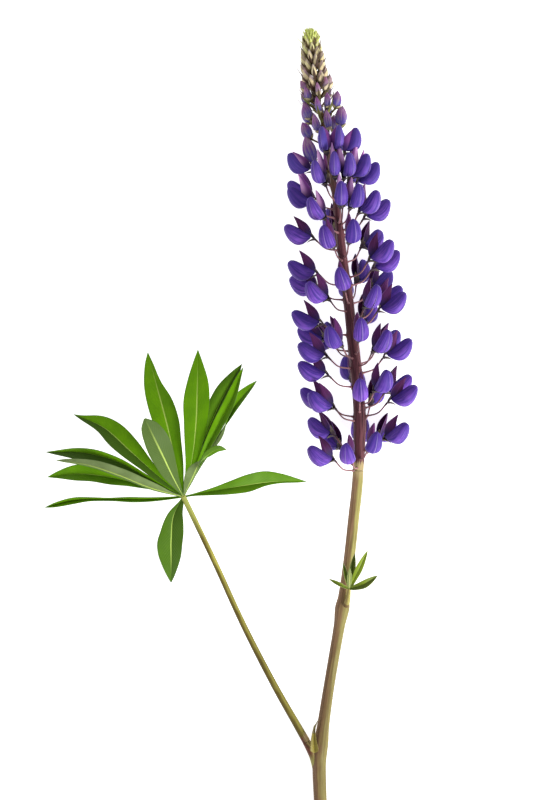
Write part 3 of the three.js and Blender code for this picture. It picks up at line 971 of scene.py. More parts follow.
@dataclass(frozen=True)
class BudSkin(Skin):
    """Bud petals or bud calyces, coloured by how near the tip of the spike they are, with painted shade in
    the gaps between the buds.
    """

    low: Colour = (84, 62, 140)
    middle: Colour = (148, 112, 150)
    high: Colour = (190, 196, 110)
    point: Colour = (146, 74, 150)
    silk: Colour = (222, 210, 190)
    # Margin is the colour of painted shade in the gaps between buds.
    margin: Colour = (62, 40, 34)
    pointing: float = 0.6
    silkiness: float = 0.4
    painted_gap_shade: float = 0.0

    def colour(self, sketch: ShaderSketch) -> Look:
        """Three colours from the foot of the bud tip to its end, under silky streaks.

        Args:
            sketch: Adds the nodes.

        Returns:
            Colour, and height of the relief.
        """
        across, _, along = sketch.parts(sketch.read("grain"))
        age, tint, _ = sketch.parts(sketch.read("trait"))
        streaks = sketch.streaks(4.0, 2.0, 0.42, 0.66)
        place = sketch.math("ADD", age, sketch.swing(tint, 0.18))
        point = sketch.times(sketch.band(along, 0.25, 0.8), sketch.band(place, 0.6, 0.42))
        layers = [
            (self.middle, sketch.band(place, 0.3, 0.5), 1),
            (self.high, sketch.band(place, 0.6, 0.9), 1),
            (self.point, point, self.pointing),
            (self.silk, streaks["Mask"], self.silkiness),
        ]
        # Painted shade in the gaps between buds: the margin colour darkens the edges and the foot.
        if self.painted_gap_shade > 0:
            edge = sketch.place(Effect.EDGE, Across=across, Start=0.85, End=1.0)
            layers.append((self.margin, edge["Mask"], self.painted_gap_shade))
            layers.append((self.margin, sketch.band(along, 0.34, 0.08), self.painted_gap_shade))
        return sketch.layered(self.low, *layers), streaks["Height"]


@dataclass(frozen=True, kw_only=True)
class PlainSkin(Skin):
    """One colour with soft patches of a second."""

    body: Colour
    patch: Colour
    size: float = 1.2

    def colour(self, sketch: ShaderSketch) -> Look:
        """The two colours in patches."""
        clouds = sketch.place(Effect.MOTTLE, Size=self.size)
        return sketch.mix(self.body, self.patch, clouds["Mask"]), clouds["Height"]


@dataclass(frozen=True)
class Seat:
    """Where a floret or bud grows: its foot on the axis, out of it, up it and to the side."""

    foot: Array
    out: Array
    climb: Array
    side: Array

    @classmethod
    def at(cls, height: float, bearing: float, roll: float) -> "Seat":
        """The seat at a height up the spike and a bearing round it.

        Args:
            height: Distance up the spike.
            bearing: Degrees round the axis from straight up towards the right.
            roll: Degrees by which the seat is turned about its way out.

        Returns:
            The seat.
        """
        along, right, up = SPINE.axes(height)
        angle = math.radians(bearing)
        out = up * math.cos(angle) + right * math.sin(angle)
        foot = SPINE.at(height) + out * through(RACHIS_RADIUS, height)
        return cls(foot, out, turned(along, out, roll), turned(np.cross(out, along), out, roll))

    def place(self, reach: Number, rise: Number, aside: Number) -> Array:
        """Points at distances out of the axis, up it and to its side."""
        reach, rise, aside = (part[..., None] for part in np.broadcast_arrays(reach, rise, aside))
        return self.foot + reach * self.out + rise * self.climb + aside * self.side


@dataclass(frozen=True)
class FloretPlan:
    """Side view of a floret: its age, size, angles and the joints of its stalk and calyx."""

    young: float
    size: float
    angles: tuple[float, float, float]
    joints: tuple[Pair, Pair, Pair, Pair]
    wing_angle: float

    PEDICEL_LENGTH = 12.8
    PEDICEL_ANGLES = (14, 46)
    PEDICEL_END_LIFT = 0.6
    CALYX_LENGTH = 3.2
    CALYX_ANGLE = 36
    WING_ANGLE = 30
    FRONT_PITCH, DROOP, DROOP_END = 14, 8, 12
    YOUNG_FROM, YOUNG_TO = 104, 170
    YOUNG_SIZE, YOUNG_PEDICEL, YOUNG_LIFT = 0.14, 0.24, 28
    PRESSED_HEIGHT = -0.25
    MOST_LIFT = 75
    # Rings of the closed purse that decide how far a floret is pressed: along, top, bottom, half width.
    PURSE = ((1, 1.5, -1.9, 1.7), (5.4, 2, -5.4, 3.4), (9.8, 1.8, -6.3, 3.8), (13.3, 1.2, -4.3, 2.6))
    PURSE_TIP = (15, -0.9)

    @classmethod
    def at(cls, height: float, lift: float, pitch: float) -> "FloretPlan":
        """The plan of a floret.

        Args:
            height: Distance up the spike.
            lift: Degrees by which all of it is turned up the stem.
            pitch: Degrees by which only its petals are turned up the stem.

        Returns:
            The plan.
        """
        young = float(smoothstep(height, cls.YOUNG_FROM, cls.YOUNG_TO))
        size = 1 - cls.YOUNG_SIZE * young
        extra = lift + cls.YOUNG_LIFT * young - cls.DROOP * (1 - float(smoothstep(height, 0, cls.DROOP_END)))
        length = cls.PEDICEL_LENGTH * (1 - cls.YOUNG_PEDICEL * young)
        angles = (cls.PEDICEL_ANGLES[0] + extra, cls.PEDICEL_ANGLES[1] + cls.PEDICEL_END_LIFT * extra,
                  cls.CALYX_ANGLE + extra)
        joints = [(0.0, 0.0)]
        for step, angle in zip((length / 2, length / 2, cls.CALYX_LENGTH * size), angles):
            reach, rise = tilted(step, 0.0, math.radians(angle))
            joints.append((joints[-1][0] + reach, joints[-1][1] + rise))
        return cls(young, size, angles, tuple(joints), cls.WING_ANGLE + extra + pitch)

    @classmethod
    def pressed(cls, seat: Seat, height: float, bearing: float) -> "FloretPlan":
        """The plan of a floret that is pressed up the stem until it rests on the table.

        Args:
            seat: Where the floret grows.
            height: Distance up the spike.
            bearing: Degrees round the axis.

        Returns:
            The plan.
        """
        pitch = cls.FRONT_PITCH * max(math.cos(math.radians(bearing)), 0) ** 2
        lift = 0
        plan = cls.at(height, lift, pitch)
        while plan.lowest(seat) < cls.PRESSED_HEIGHT and lift < cls.MOST_LIFT:
            lift += 1
            plan = cls.at(height, lift, pitch)
        return plan

    def wing(self, along: Number, across: Number) -> tuple[Number, Number]:
        """Reach and rise of a place along and across the wings."""
        reach, rise = tilted(along, across, math.radians(self.wing_angle))
        return self.joints[3][0] + self.size * reach, self.joints[3][1] + self.size * rise

    def lowest(self, seat: Seat) -> float:
        """Height of the lowest corner of the wings above the table.

        Args:
            seat: Where the floret grows.

        Returns:
            The height.
        """
        corners = [(*self.PURSE_TIP, 0)]
        for along, top, bottom, half in self.PURSE:
            middle = bottom / 2
            corners += [(along, top, 0), (along, bottom, 0), (along, middle, half), (along, middle, -half)]
        return min(float(seat.place(*self.wing(a, c), s * self.size)[2]) for a, c, s in corners)


@dataclass(frozen=True)
class Floret:
    """One open floret with its seat on the axis and its plan."""

    seat: Seat
    plan: FloretPlan
    tilt: float
    trait: Trait
    height: float
    bearing: float

    HEIGHT_SPREAD, BEARING_SPREAD, ROLL_SPREAD, TILT_SPREAD = 0.9, 3, 6, 5
    # Upper and lower outline of a wing as share of its length, place along and place across.
    WING_TOP = ((0, 0.2, 0.5), (0.2, 2.9, 0.8), (0.42, 6.1, 1.1), (0.64, 9.4, 1.3), (0.82, 12.1, 1.1),
                (0.94, 13.8, 0.3), (1, 14.4, -0.9))
    WING_BOTTOM = ((0, 0.2, -1.3), (0.2, 2.1, -4.9), (0.42, 4.9, -6.9), (0.64, 8.5, -6.7), (0.82, 11.7, -4.9),
                   (0.94, 13.8, -2.7), (1, 14.45, -1.3))
    WING_BULGE = ((0, 1.2), (0.2, 2.7), (0.42, 3.6), (0.64, 3.5), (0.82, 2.7), (0.94, 1.5), (1, 0.15))
    WING_GAP = ((0, 0.8), (0.3, 0.5), (0.7, 0.25), (1, 0.05))
    WING_BELLY = ((0, 0), (0.15, 0.32), (0.35, 0.74), (0.6, 1), (0.8, 0.88), (0.93, 0.52), (1, 0))
    WING_ROWS, WING_COLUMNS, WING_STEPS, WING_THICKNESS = 18, 14, 60, 0.3
    WING_DEPTH, WING_WIDTH, WING_LAP, WING_TUCK = 7.8, 3.6, 1.2, 0.4
    YOUNG_THIN, YOUNG_HOOD, YOUNG_FOLD, YOUNG_TONGUE = 0.52, 1.1, 24, 0.3
    # Ages between which a banner stays folded, and between which its pale tongue shows.
    FOLD_AGES, TONGUE_AGES = (0.52, 0.6), (0.08, 0.35)
    BANNER_LENGTH, BANNER_ANGLE, BANNER_MOST_ANGLE = 13.4, 59, 100
    BANNER_CURL, BANNER_FLARE = 1.2, 2.2
    BANNER_RIDGE = ((0, -0.4), (0.15, -2.2), (0.35, -2.5), (0.6, -1.6), (0.8, -0.7), (1, -0.1))
    BANNER_MARGIN = ((0, 0.7), (0.13, 1.6), (0.3, 2.3), (0.5, 2.3), (0.7, 1.6), (0.88, 0.75), (1, 0.1))
    BANNER_SPREAD = ((0, 0.9), (0.2, 1.4), (0.5, 1.6), (0.8, 1.0), (1, 0.12))
    BANNER_ROWS, BANNER_COLUMNS, BANNER_THICKNESS = 16, 15, 0.3
    # Lips of the calyx as share of their length, place along and across the wings, and half width.
    UPPER_LIP = ((0, -3.2, -0.3, 0.5), (0.35, -1.6, 0.9, 1.3), (0.7, 0.4, 1.9, 1.5), (0.88, 1.6, 2.5, 0.9),
                 (1, 2.5, 3.1, 0.1))
    LOWER_LIP = ((0, -3.2, -0.3, 0.6), (0.3, -2.0, -0.9, 1.6), (0.6, -0.7, -1.9, 1.5), (0.85, 0.2, -3.0, 0.7),
                 (1, 0.6, -3.8, 0.08))
    LIP_ROWS, LIP_COLUMNS, LIP_THICKNESS, LIP_WRAP, LIP_ROUND = 9, 9, 0.25, 75, 0.9
    KEEL = ((0, 0.2, -0.6, 0.5), (0.3, 4.4, -2.6, 1.1), (0.65, 9.4, -3.3, 1.0), (0.88, 12.3, -1.9, 0.5),
            (1, 13.2, -0.9, 0.1))
    KEEL_ROWS, KEEL_SIDES = 7, 7
    PEDICEL_RADIUS = ((-1.4, 0.85), (0, 0.75), (1.2, 0.46), (6, 0.38), (10, 0.42), (11.3, 0.58))
    PEDICEL_SUNK, PEDICEL_STEPS, PEDICEL_SIDES = 1.4, 10, 8
    SILK_COUNT, SILK_LENGTH, SILK_RADIUS, SILK_SUNK = 16, 0.9, 0.035, 0.15
    SILK_SLANT, SILK_SLANT_SPREAD, SILK_FLARE = 0.5, 0.4, 1.4

    @classmethod
    def at(cls, height: float, bearing: float, seed: float) -> "Floret":
        """The floret near a height and bearing, strayed from there by its seed.

        Args:
            height: Distance up the spike.
            bearing: Degrees round the axis.
            seed: Tells it from the others.

        Returns:
            The floret.
        """
        spot = height + cls.HEIGHT_SPREAD * draw(seed)
        round_to = bearing + cls.BEARING_SPREAD * draw(seed + 0.5)
        seat = Seat.at(spot, round_to, cls.ROLL_SPREAD * draw(seed + 0.7))
        plan = FloretPlan.pressed(seat, spot, bearing)
        trait = Trait.drawn(plan.young, seed + 0.2, seed + 0.4)
        return cls(seat, plan, cls.TILT_SPREAD * draw(seed + 0.9), trait, spot, round_to)

    def wings(self, sketch: Sketch) -> None:
        """Adds the two wing petals, which meet along their lower edge and at their tips.

        Args:
            sketch: Where they are added.
        """
        along = np.linspace(0, 1, self.WING_ROWS)
        fine = np.linspace(0, 1, self.WING_STEPS)
        skirt = np.column_stack([fine * self.WING_DEPTH, curve(self.WING_BELLY, fine) * self.WING_WIDTH])
        reached = walked(skirt)
        spread = np.linspace(0, 1, self.WING_COLUMNS)
        across = np.interp(spread, reached / reached[-1], fine)
        top_along, top = curve(self.WING_TOP, along), curve(self.WING_TOP, along, 2)
        low_along, low = curve(self.WING_BOTTOM, along), curve(self.WING_BOTTOM, along, 2)
        share = across[None, :]
        line = top_along[:, None] * (1 - share) + low_along[:, None] * share
        depth = top[:, None] * (1 - share) + low[:, None] * share
        thin = 1 - self.YOUNG_THIN * self.plan.young
        bulge = curve(self.WING_BULGE, along)[:, None] * curve(self.WING_BELLY, across)[None, :] * thin
        aside = curve(self.WING_GAP, along)[:, None] * (1 - share) + bulge
        lap = self.WING_LAP * draw(self.trait.seed + 0.7) * np.sin(math.pi * along)[:, None] * share**3
        for hand in (1, -1):
            under = np.where(hand * lap > 0, np.abs(lap) * self.WING_TUCK, 0)
            reach, rise = self.plan.wing(line, depth + under)
            grid = self.seat.place(reach, rise, (hand * aside + lap) * self.plan.size)
            trait = Trait(self.trait.age, self.trait.tint, self.trait.seed + hand)
            sketch.shell(grid[:, ::-hand], spread[::-hand], along, self.WING_THICKNESS, trait)

    def banner(self, sketch: Sketch) -> None:
        """Adds the banner petal, folded lengthwise with its sides bent back.

        Args:
            sketch: Where it is added.
        """
        along = np.linspace(0, 1, self.BANNER_ROWS)
        across = np.linspace(-1, 1, self.BANNER_COLUMNS)
        size = self.plan.size
        folded = float(smoothstep(self.plan.young, *self.FOLD_AGES))
        tongue = float(smoothstep(self.plan.young, *self.TONGUE_AGES)) * (1 - folded)
        opening = self.BANNER_ANGLE + self.tilt - self.YOUNG_FOLD * folded
        angle = min(self.plan.wing_angle - FloretPlan.WING_ANGLE + opening, self.BANNER_MOST_ANGLE)
        distance = np.abs(across)[None, :]
        ridge = curve(self.BANNER_RIDGE, along)[:, None]
        margin = curve(self.BANNER_MARGIN, along)[:, None]
        back = (ridge + (margin - ridge) * distance**self.BANNER_CURL) * size
        spread = curve(self.BANNER_SPREAD, along)[:, None] * (1 - (1 - distance) ** self.BANNER_FLARE)
        aside = np.sign(across)[None, :] * spread * size * (1 + self.YOUNG_HOOD * folded)
        length = self.BANNER_LENGTH * size * (1 + self.YOUNG_TONGUE * tongue) * along[:, None]
        reach, rise = tilted(length, back, math.radians(angle))
        grid = self.seat.place(self.plan.joints[3][0] + reach, self.plan.joints[3][1] + rise, aside)
        sketch.shell(grid, across, along, self.BANNER_THICKNESS, self.trait)

    def lip(self, sketch: Sketch, path: Knots, rounding: float) -> None:
        """Adds one lip of the calyx, which wraps round the foot of the petals.

        Args:
            sketch: Where it is added.
            path: The upper or the lower lip's outline.
            rounding: How far its sides bend down, or up if it is below zero.
        """
        along = np.linspace(0, 1, self.LIP_ROWS)
        across = np.linspace(-1, 1, self.LIP_COLUMNS)
        angle = np.radians(self.LIP_WRAP * across)[None, :]
        line, depth, half = (curve(path, along, column)[:, None] for column in (1, 2, 3))
        aside = half * np.sin(angle) / math.sin(math.radians(self.LIP_WRAP))
        reach, rise = self.plan.wing(line + 0 * angle, depth - rounding * half * (1 - np.cos(angle)))
        grid = self.seat.place(reach, rise, aside * self.plan.size)
        if rounding > 0:
            grid = grid[:, ::-1]
        sketch.shell(grid, across, along, self.LIP_THICKNESS, self.trait)

    def calyx(self, sketch: Sketch) -> None:
        """Adds both lips of the calyx, with the silky hairs under the lower one.

        Args:
            sketch: Where they are added.
        """
        self.lip(sketch, self.UPPER_LIP, self.LIP_ROUND)
        self.lip(sketch, self.LOWER_LIP, -self.LIP_ROUND)
        for k in range(self.SILK_COUNT):
            share = (k + 0.5) / self.SILK_COUNT
            line, depth, half = (through(self.LOWER_LIP, share, column) for column in (1, 2, 3))
            aside = half * draw(self.trait.seed + k)
            slant = self.SILK_SLANT + self.SILK_SLANT_SPREAD * draw(k + 0.1)
            root = self.seat.place(*self.plan.wing(line, depth + self.SILK_SUNK), aside * self.plan.size)
            end = self.seat.place(*self.plan.wing(line + slant, depth - self.SILK_LENGTH),
                                  aside * self.SILK_FLARE)
            sketch.hair(root, end - root, self.SILK_RADIUS, self.trait)

    def keel(self, sketch: Sketch) -> None:
        """Adds the keel petal inside the wings.

        Args:
            sketch: Where it is added.
        """
        along = np.linspace(0, 1, self.KEEL_ROWS)
        line, depth, radius = (curve(self.KEEL, along, column) for column in (1, 2, 3))
        route = self.seat.place(*self.plan.wing(line, depth), 0.0)
        sketch.tube(tube_through(route, radius * self.plan.size, self.KEEL_SIDES), along, self.trait)

    def pedicel(self, sketch: Sketch) -> None:
        """Adds the curved stalk.

        Args:
            sketch: Where it is added.
        """
        first = math.radians(self.plan.angles[0])
        sunk = (-self.PEDICEL_SUNK * math.cos(first), -self.PEDICEL_SUNK * math.sin(first))
        spots = [self.seat.place(reach, rise, 0.0) for reach, rise in (sunk, *self.plan.joints[:3])]
        route = smooth_route(spots, self.PEDICEL_STEPS)
        along = np.linspace(0, 1, len(route))
        length = self.PEDICEL_RADIUS[-1][0] + self.PEDICEL_SUNK
        radii = curve(self.PEDICEL_RADIUS, along * length - self.PEDICEL_SUNK)
        sketch.tube(tube_through(route, radii, self.PEDICEL_SIDES), along, self.trait)


@dataclass
class Raceme:
    """The maroon axis with its whorls of open florets, each given by its height and its bearing.

    A tier of whorls makes one piece. Rings of the axis have as many points as sides and lie a step apart.
    """

    whorls: tuple[tuple[Pair, ...], ...] = (
        ((1.5, -178), (0.6, -142), (0.6, -58), (0.6, -14), (1.5, 176)), ((6.4, 14),), ((10.8, 51), (7, 142)),
        ((10.4, -122),), ((24.5, -63), (22, 152)), ((26.5, -90), (27.3, 78), (27, 178)),
        ((28.8, 0), (31, 112)), ((32.3, 32),), ((34, -166), (42.5, -76)), ((48, 82),),
        ((50.8, -70), (51.2, 34), (53, 128)), ((55, -158), (59, -118), (56.8, -24)),
        ((57.5, -136), (57.1, 11)), ((67.5, -84), (63, 150)), ((74, 29), (70.2, 80)),
        ((79.3, -43), (74, 108), (76, -173)), ((86, -102), (83.3, -6), (83, 128), (83.5, 152)),
        ((93, -78),), ((96.6, 62), (92.5, 96)), ((104, -172), (104, 134)),
        ((109, -163), (110.3, -72), (105.5, -20), (106.5, 17)), ((116.5, 106),),
        ((118, -32), (119.3, 52), (123, 160)), ((126, -70), (124.2, 6), (122.4, 28)), ((130.5, -108),),
        ((136, -165), (134.3, -22), (133.4, 84), (136, 138)), ((136.8, 4), (136, 30), (135.2, 62)),
        ((142.9, -84),), ((151, -172), (148.8, -10), (148.6, 20), (148.2, 60), (151, 150)),
    )
    tier: int = 5
    sides: int = 32
    step: float = 1.2
    florets: list[list[Floret]] = field(default_factory=list)

    FLUTES, FLUTE_DEPTH, FLUTE_TURN = 7, 0.025, 0.6
    # Below each stalk: how far a nub and a rib stand out, half their width in radians, and their length.
    NUB_HEIGHT, NUB_WIDTH, NUB_LENGTH = 0.5, 0.26, 1.1
    RIB_HEIGHT, RIB_WIDTH, RIB_LENGTH = 0.22, 0.2, 9

    def __post_init__(self) -> None:
        """Works out each floret's place."""
        for row, spots in enumerate(self.whorls):
            self.florets.append([Floret.at(*spot, 10 * row + k) for k, spot in enumerate(spots)])

    def axis(self) -> Sketch:
        """The axis, with a nub and a rib below each floret's stalk.

        Returns:
            A sketch of it.
        """
        sketch = Sketch()
        count = round((BUD_TIP_FOOT - RACEME_FOOT) / self.step)
        places = np.linspace(RACEME_FOOT, BUD_TIP_FOOT, count + 1)
        turn = turns(self.sides)
        flutes = 1 + self.FLUTE_DEPTH * np.sin(self.FLUTES * turn + self.FLUTE_TURN)
        radii = curve(RACHIS_RADIUS, places)[:, None] * flutes[None, :]
        for floret in (each for row in self.florets for each in row):
            away = (turn - math.radians(floret.bearing) + math.pi) % (2 * math.pi) - math.pi
            above = places[:, None] - floret.height
            below = np.clip(-above, 0, None)
            nub = np.exp(-((away / self.NUB_WIDTH) ** 2)) * np.exp(-((above / self.NUB_LENGTH) ** 2))
            rib = np.exp(-((away / self.RIB_WIDTH) ** 2)) * np.exp(-below / self.RIB_LENGTH) * (above < 0)
            radii = radii + self.NUB_HEIGHT * nub + self.RIB_HEIGHT * rib
        sketch.tube(SPINE.rings(places, radii), np.linspace(0, 1, count + 1), Trait())
        return sketch

    def build(self) -> None:
        """Builds the axis and the petals, tier by tier."""
        wing = WingSkin("wing_petal", sheen=0.04, subsurface=0.05, relief=0.12).material()
        banner = BannerSkin("banner_petal", gloss=0.15, sheen=0.03, relief=0.1).material()
        calyx = CalyxSkin("calyx", roughness=0.6, sheen=0.08, relief=0.08).material()
        keel = KeelSkin("keel_petal", roughness=0.5, relief=0.05).material()
        stalk = StalkSkin("floret_stalk", left=(132, 80, 86), right=(176, 122, 126), dark=(92, 50, 58),
                          tip=(86, 56, 66), tip_reach=0.8, roughness=0.45, gloss=0.4, sheen=0.04,
                          relief=0.05).material()
        axis = StalkSkin("spike_axis", left=(100, 54, 64), right=(126, 76, 82), dark=(52, 25, 35),
                         foot=(190, 168, 120), foot_reach=0.03, tip=(140, 112, 88), tip_reach=0.8,
                         fineness=6.0, stretch=14.0, streaking=0.85, roughness=0.5, sheen=0.03,
                         relief=0.3).material()
        self.axis().build("spike_axis", axis, "raceme")
        finishes = {"wings": wing, "banners": banner, "calyces": calyx, "floret_stalks": stalk}
        keels = Sketch()
        for start in range(0, len(self.florets), self.tier):
            sketches = {name: Sketch() for name in finishes}
            for floret in (each for row in self.florets[start:start + self.tier] for each in row):
                floret.wings(sketches["wings"])
                floret.banner(sketches["banners"])
                floret.calyx(sketches["calyces"])
                floret.pedicel(sketches["floret_stalks"])
                floret.keel(keels)
            for name, sketch in sketches.items():
                sketch.build(f"{name}_{start // self.tier + 1}", finishes[name], "raceme")
        keels.build("keels", keel, "raceme")


@dataclass(frozen=True)
class Bud:
    """One unopened bud at the end of the spike.

    Its height is its distance up the spike, and its bearing the degrees round the axis from straight up
    towards the right. Its stalk is longer than those around it by a length of its own.
    """

    height: float
    bearing: float
    longer: float
    number: int

    # Sizes by how near the end of the spike the bud is, and degrees by which its body stands steeper.
    LENGTH = ((0, 9.8), (0.14, 9.6), (0.3, 7.8), (0.5, 6.5), (0.7, 5.8), (1, 4.4))
    RADIUS = ((0, 2.5), (0.14, 2.4), (0.3, 1.95), (0.5, 1.55), (0.75, 1.25), (1, 1.0))
    STALK = ((0, 7.5), (0.14, 7.0), (0.3, 5.6), (0.5, 4.4), (0.75, 3.2), (1, 1.2))
    ANGLE = ((0, 40), (0.3, 40), (0.5, 42), (0.75, 46), (1, 58))
    LIFT = ((0, 30), (0.3, 28), (0.5, 20), (0.75, 16), (1, 12))
    ANGLE_SPREAD, LENGTH_SPREAD = 4, 0.07
    BODY_OUTLINE = ((0, 0.34), (0.1, 0.66), (0.28, 0.96), (0.5, 1.0), (0.7, 0.82), (0.88, 0.46), (1, 0.06))
    SIDES, ROWS = 12, 13
    # The body's width and depth as shares of its radius, its bend up, and the seam along its back.
    FLAT, DEEP, BEND, SEAM_HEIGHT, SEAM_WIDTH = 0.74, 1.05, 0.5, 0.14, 0.5
    # Lips and silk lie over the body: as shares of its radius, and by how much more.
    OUTER_FLAT, LIP_OVER, LIP_GAP, SILK_OVER, SILK_GAP = 0.78, 1.1, 0.16, 1.12, 0.1
    LIP_ROWS, LIP_COLUMNS, LIP_THICKNESS, LIP_BEHIND = 9, 7, 0.22, 0.3
    LIP_COVER = ((0, 0.2), (0.3, 0.28), (0.4, 0.46), (0.5, 0.92), (0.58, 1.0), (1, 1.0))
    LIP_WIDTH = ((0, 84), (0.4, 80), (0.75, 46), (1, 4))
    SILK_COUNT, SILK_FROM, SILK_SPAN, SILK_TURN = 20, 0.12, 0.75, 2.4
    SILK_FORWARD, SILK_OUT, SILK_RADIUS = 0.7, 0.25, 0.03
    STALK_RADII, STALK_SIDES, STALK_SUNK, STALK_OVERLAP = (0.6, 0.5, 0.45, 0.5, 0.7), 7, 0.7, 0.4
    BRACT_FROM, BRACT_ROWS, BRACT_COLUMNS, BRACT_THICKNESS = 0.22, 9, 5, 0.2
    BRACT_LENGTH, BRACT_LENGTH_SPREAD, BRACT_HALF, BRACT_FOLD = 0.85, 0.15, 0.8, 0.25
    BRACT_GAP, BRACT_ROUND, BRACT_RISE = 0.5, 2.2, 0.25
    BRACT_NARROW, BRACT_TAPER = 0.12, 0.86

    @property
    def share(self) -> float:
        """How near the end of the spike the bud is, from 0 to 1."""
        return (self.height - BUD_TIP_FOOT) / (SPIKE_END - BUD_TIP_FOOT)

    @property
    def trait(self) -> Trait:
        """Traits of the bud: its age is its share of the way to the end."""
        return Trait.drawn(self.share, self.number + 0.6, self.number + 0.8)

    def seat(self) -> Seat:
        """Where the bud grows."""
        return Seat.at(self.height, self.bearing, 0)

    @property
    def angle(self) -> float:
        """Angle in radians by which the stalk climbs."""
        return math.radians(through(self.ANGLE, self.share) + self.ANGLE_SPREAD * draw(self.number))

    @property
    def length(self) -> float:
        """Length of the body."""
        return through(self.LENGTH, self.share) * (1 + self.LENGTH_SPREAD * draw(self.number + 0.3))

    @property
    def radius(self) -> float:
        """Largest radius of the body."""
        return through(self.RADIUS, self.share)

    @property
    def reach(self) -> float:
        """Length of the stalk."""
        return through(self.STALK, self.share) + self.longer

    def straight(self, along: Number, across: Number, aside: Number) -> Array:
        """Points at distances along the stalk, across it on its upper side, and to its side."""
        return self.seat().place(*tilted(along, across, self.angle), aside)

    def at(self, along: Number, across: Number, aside: Number) -> Array:
        """The same along the body of the bud, which stands steeper than its stalk.

        Args:
            along: Distances from the foot of the stalk.
            across: Distances to the upper side.
            aside: Distances to its side.

        Returns:
            The points.
        """
        steep = self.angle + math.radians(through(self.LIFT, self.share))
        reach, rise = tilted(along - self.reach, across, steep)
        foot_reach, foot_rise = tilted(self.reach, 0.0, self.angle)
        return self.seat().place(foot_reach + reach, foot_rise + rise, aside)

    def body(self, along: Number, across: Number, aside: Number, forward: float = 0.0) -> Array:
        """Points at shares of the bent body's length, across it, to its side and further forward."""
        bent = across + self.BEND * self.radius * along**2
        return self.at(self.reach + self.length * along + 0 * across + forward, bent, aside)

    def skin(self, along: Number, turn: Number, size: Number, forward: float = 0.0) -> Array:
        """Points of what lies over the body, at angles from its upper side and at a radius."""
        across, aside = size * np.cos(turn) * self.DEEP, size * np.sin(turn) * self.OUTER_FLAT
        return self.body(along, across, aside, forward)

    def petals(self, sketch: Sketch) -> None:
        """Adds the closed petals as one pointed body with a seam along its back.

        Args:
            sketch: Where they are added.
        """
        along = np.linspace(0, 1, self.ROWS)
        turn = turns(self.SIDES)
        away = np.minimum(turn, 2 * math.pi - turn)
        seam = 1 + self.SEAM_HEIGHT * np.exp(-((away / self.SEAM_WIDTH) ** 2))
        size = curve(self.BODY_OUTLINE, along)[:, None] * self.radius
        upright, aside = size * np.cos(turn) * seam * self.DEEP, size * np.sin(turn) * self.FLAT
        sketch.tube(self.body(along[:, None], upright, aside), along, self.trait)

    def lips(self, sketch: Sketch) -> None:
        """Adds the two calyx lips that hold the petals.

        Args:
            sketch: Where they are added.
        """
        rows = np.linspace(0, 1, self.LIP_ROWS)
        columns = np.linspace(-1, 1, self.LIP_COLUMNS)
        place = (rows * through(self.LIP_COVER, self.share))[:, None]
        width = np.radians(curve(self.LIP_WIDTH, rows))[:, None]
        size = curve(self.BODY_OUTLINE, place)[:, None] * self.radius * self.LIP_OVER + self.LIP_GAP
        for middle in (0, math.pi):
            grid = self.skin(place, middle + width * columns[None, :], size, -self.LIP_BEHIND)
            sketch.shell(grid[:, ::-1], columns, rows, self.LIP_THICKNESS, self.trait)

    def silk(self, sketch: Sketch) -> None:
        """Adds short hairs that stand off the bud towards its point.

        Args:
            sketch: Where they are added.
        """
        for k in range(self.SILK_COUNT):
            place = self.SILK_FROM + self.SILK_SPAN * (k + 0.5) / self.SILK_COUNT
            turn = self.SILK_TURN * k + self.number
            size = through(self.BODY_OUTLINE, place) * self.radius * self.SILK_OVER + self.SILK_GAP
            root = self.skin(place, turn, size)
            end = self.skin(place, turn, size + self.SILK_OUT, self.SILK_FORWARD)
            sketch.hair(root, end - root, self.SILK_RADIUS, self.trait)

    def stalk(self, sketch: Sketch) -> None:
        """Adds the short stalk.

        Args:
            sketch: Where it is added.
        """
        along = np.linspace(0, 1, len(self.STALK_RADII))
        reach = self.reach + self.STALK_SUNK + self.STALK_OVERLAP
        route = self.straight(-self.STALK_SUNK + reach * along, 0.0 * along, 0.0)
        sketch.tube(tube_through(route, np.array(self.STALK_RADII), self.STALK_SIDES), along, self.trait)

    def bract(self, sketch: Sketch) -> None:
        """Adds the narrow bract below the bud.

        Args:
            sketch: Where it is added.
        """
        rows = np.linspace(0, 1, self.BRACT_ROWS)[:, None]
        columns = np.linspace(-1, 1, self.BRACT_COLUMNS)
        share = self.BRACT_LENGTH + self.BRACT_LENGTH_SPREAD * draw(self.number + 0.15)
        swell = (self.radius + self.BRACT_GAP) * np.sin(rows * self.BRACT_ROUND)
        drop = self.BRACT_GAP + swell - self.BRACT_RISE * self.length * rows**2
        half = self.BRACT_HALF * np.sin(math.pi * (self.BRACT_NARROW + self.BRACT_TAPER * rows)) * columns
        along = (self.length * share + self.reach) * rows + 0 * half
        grid = self.straight(along, self.BRACT_FOLD * half**2 - drop, half)
        sketch.shell(grid, columns, rows[:, 0], self.BRACT_THICKNESS, self.trait)


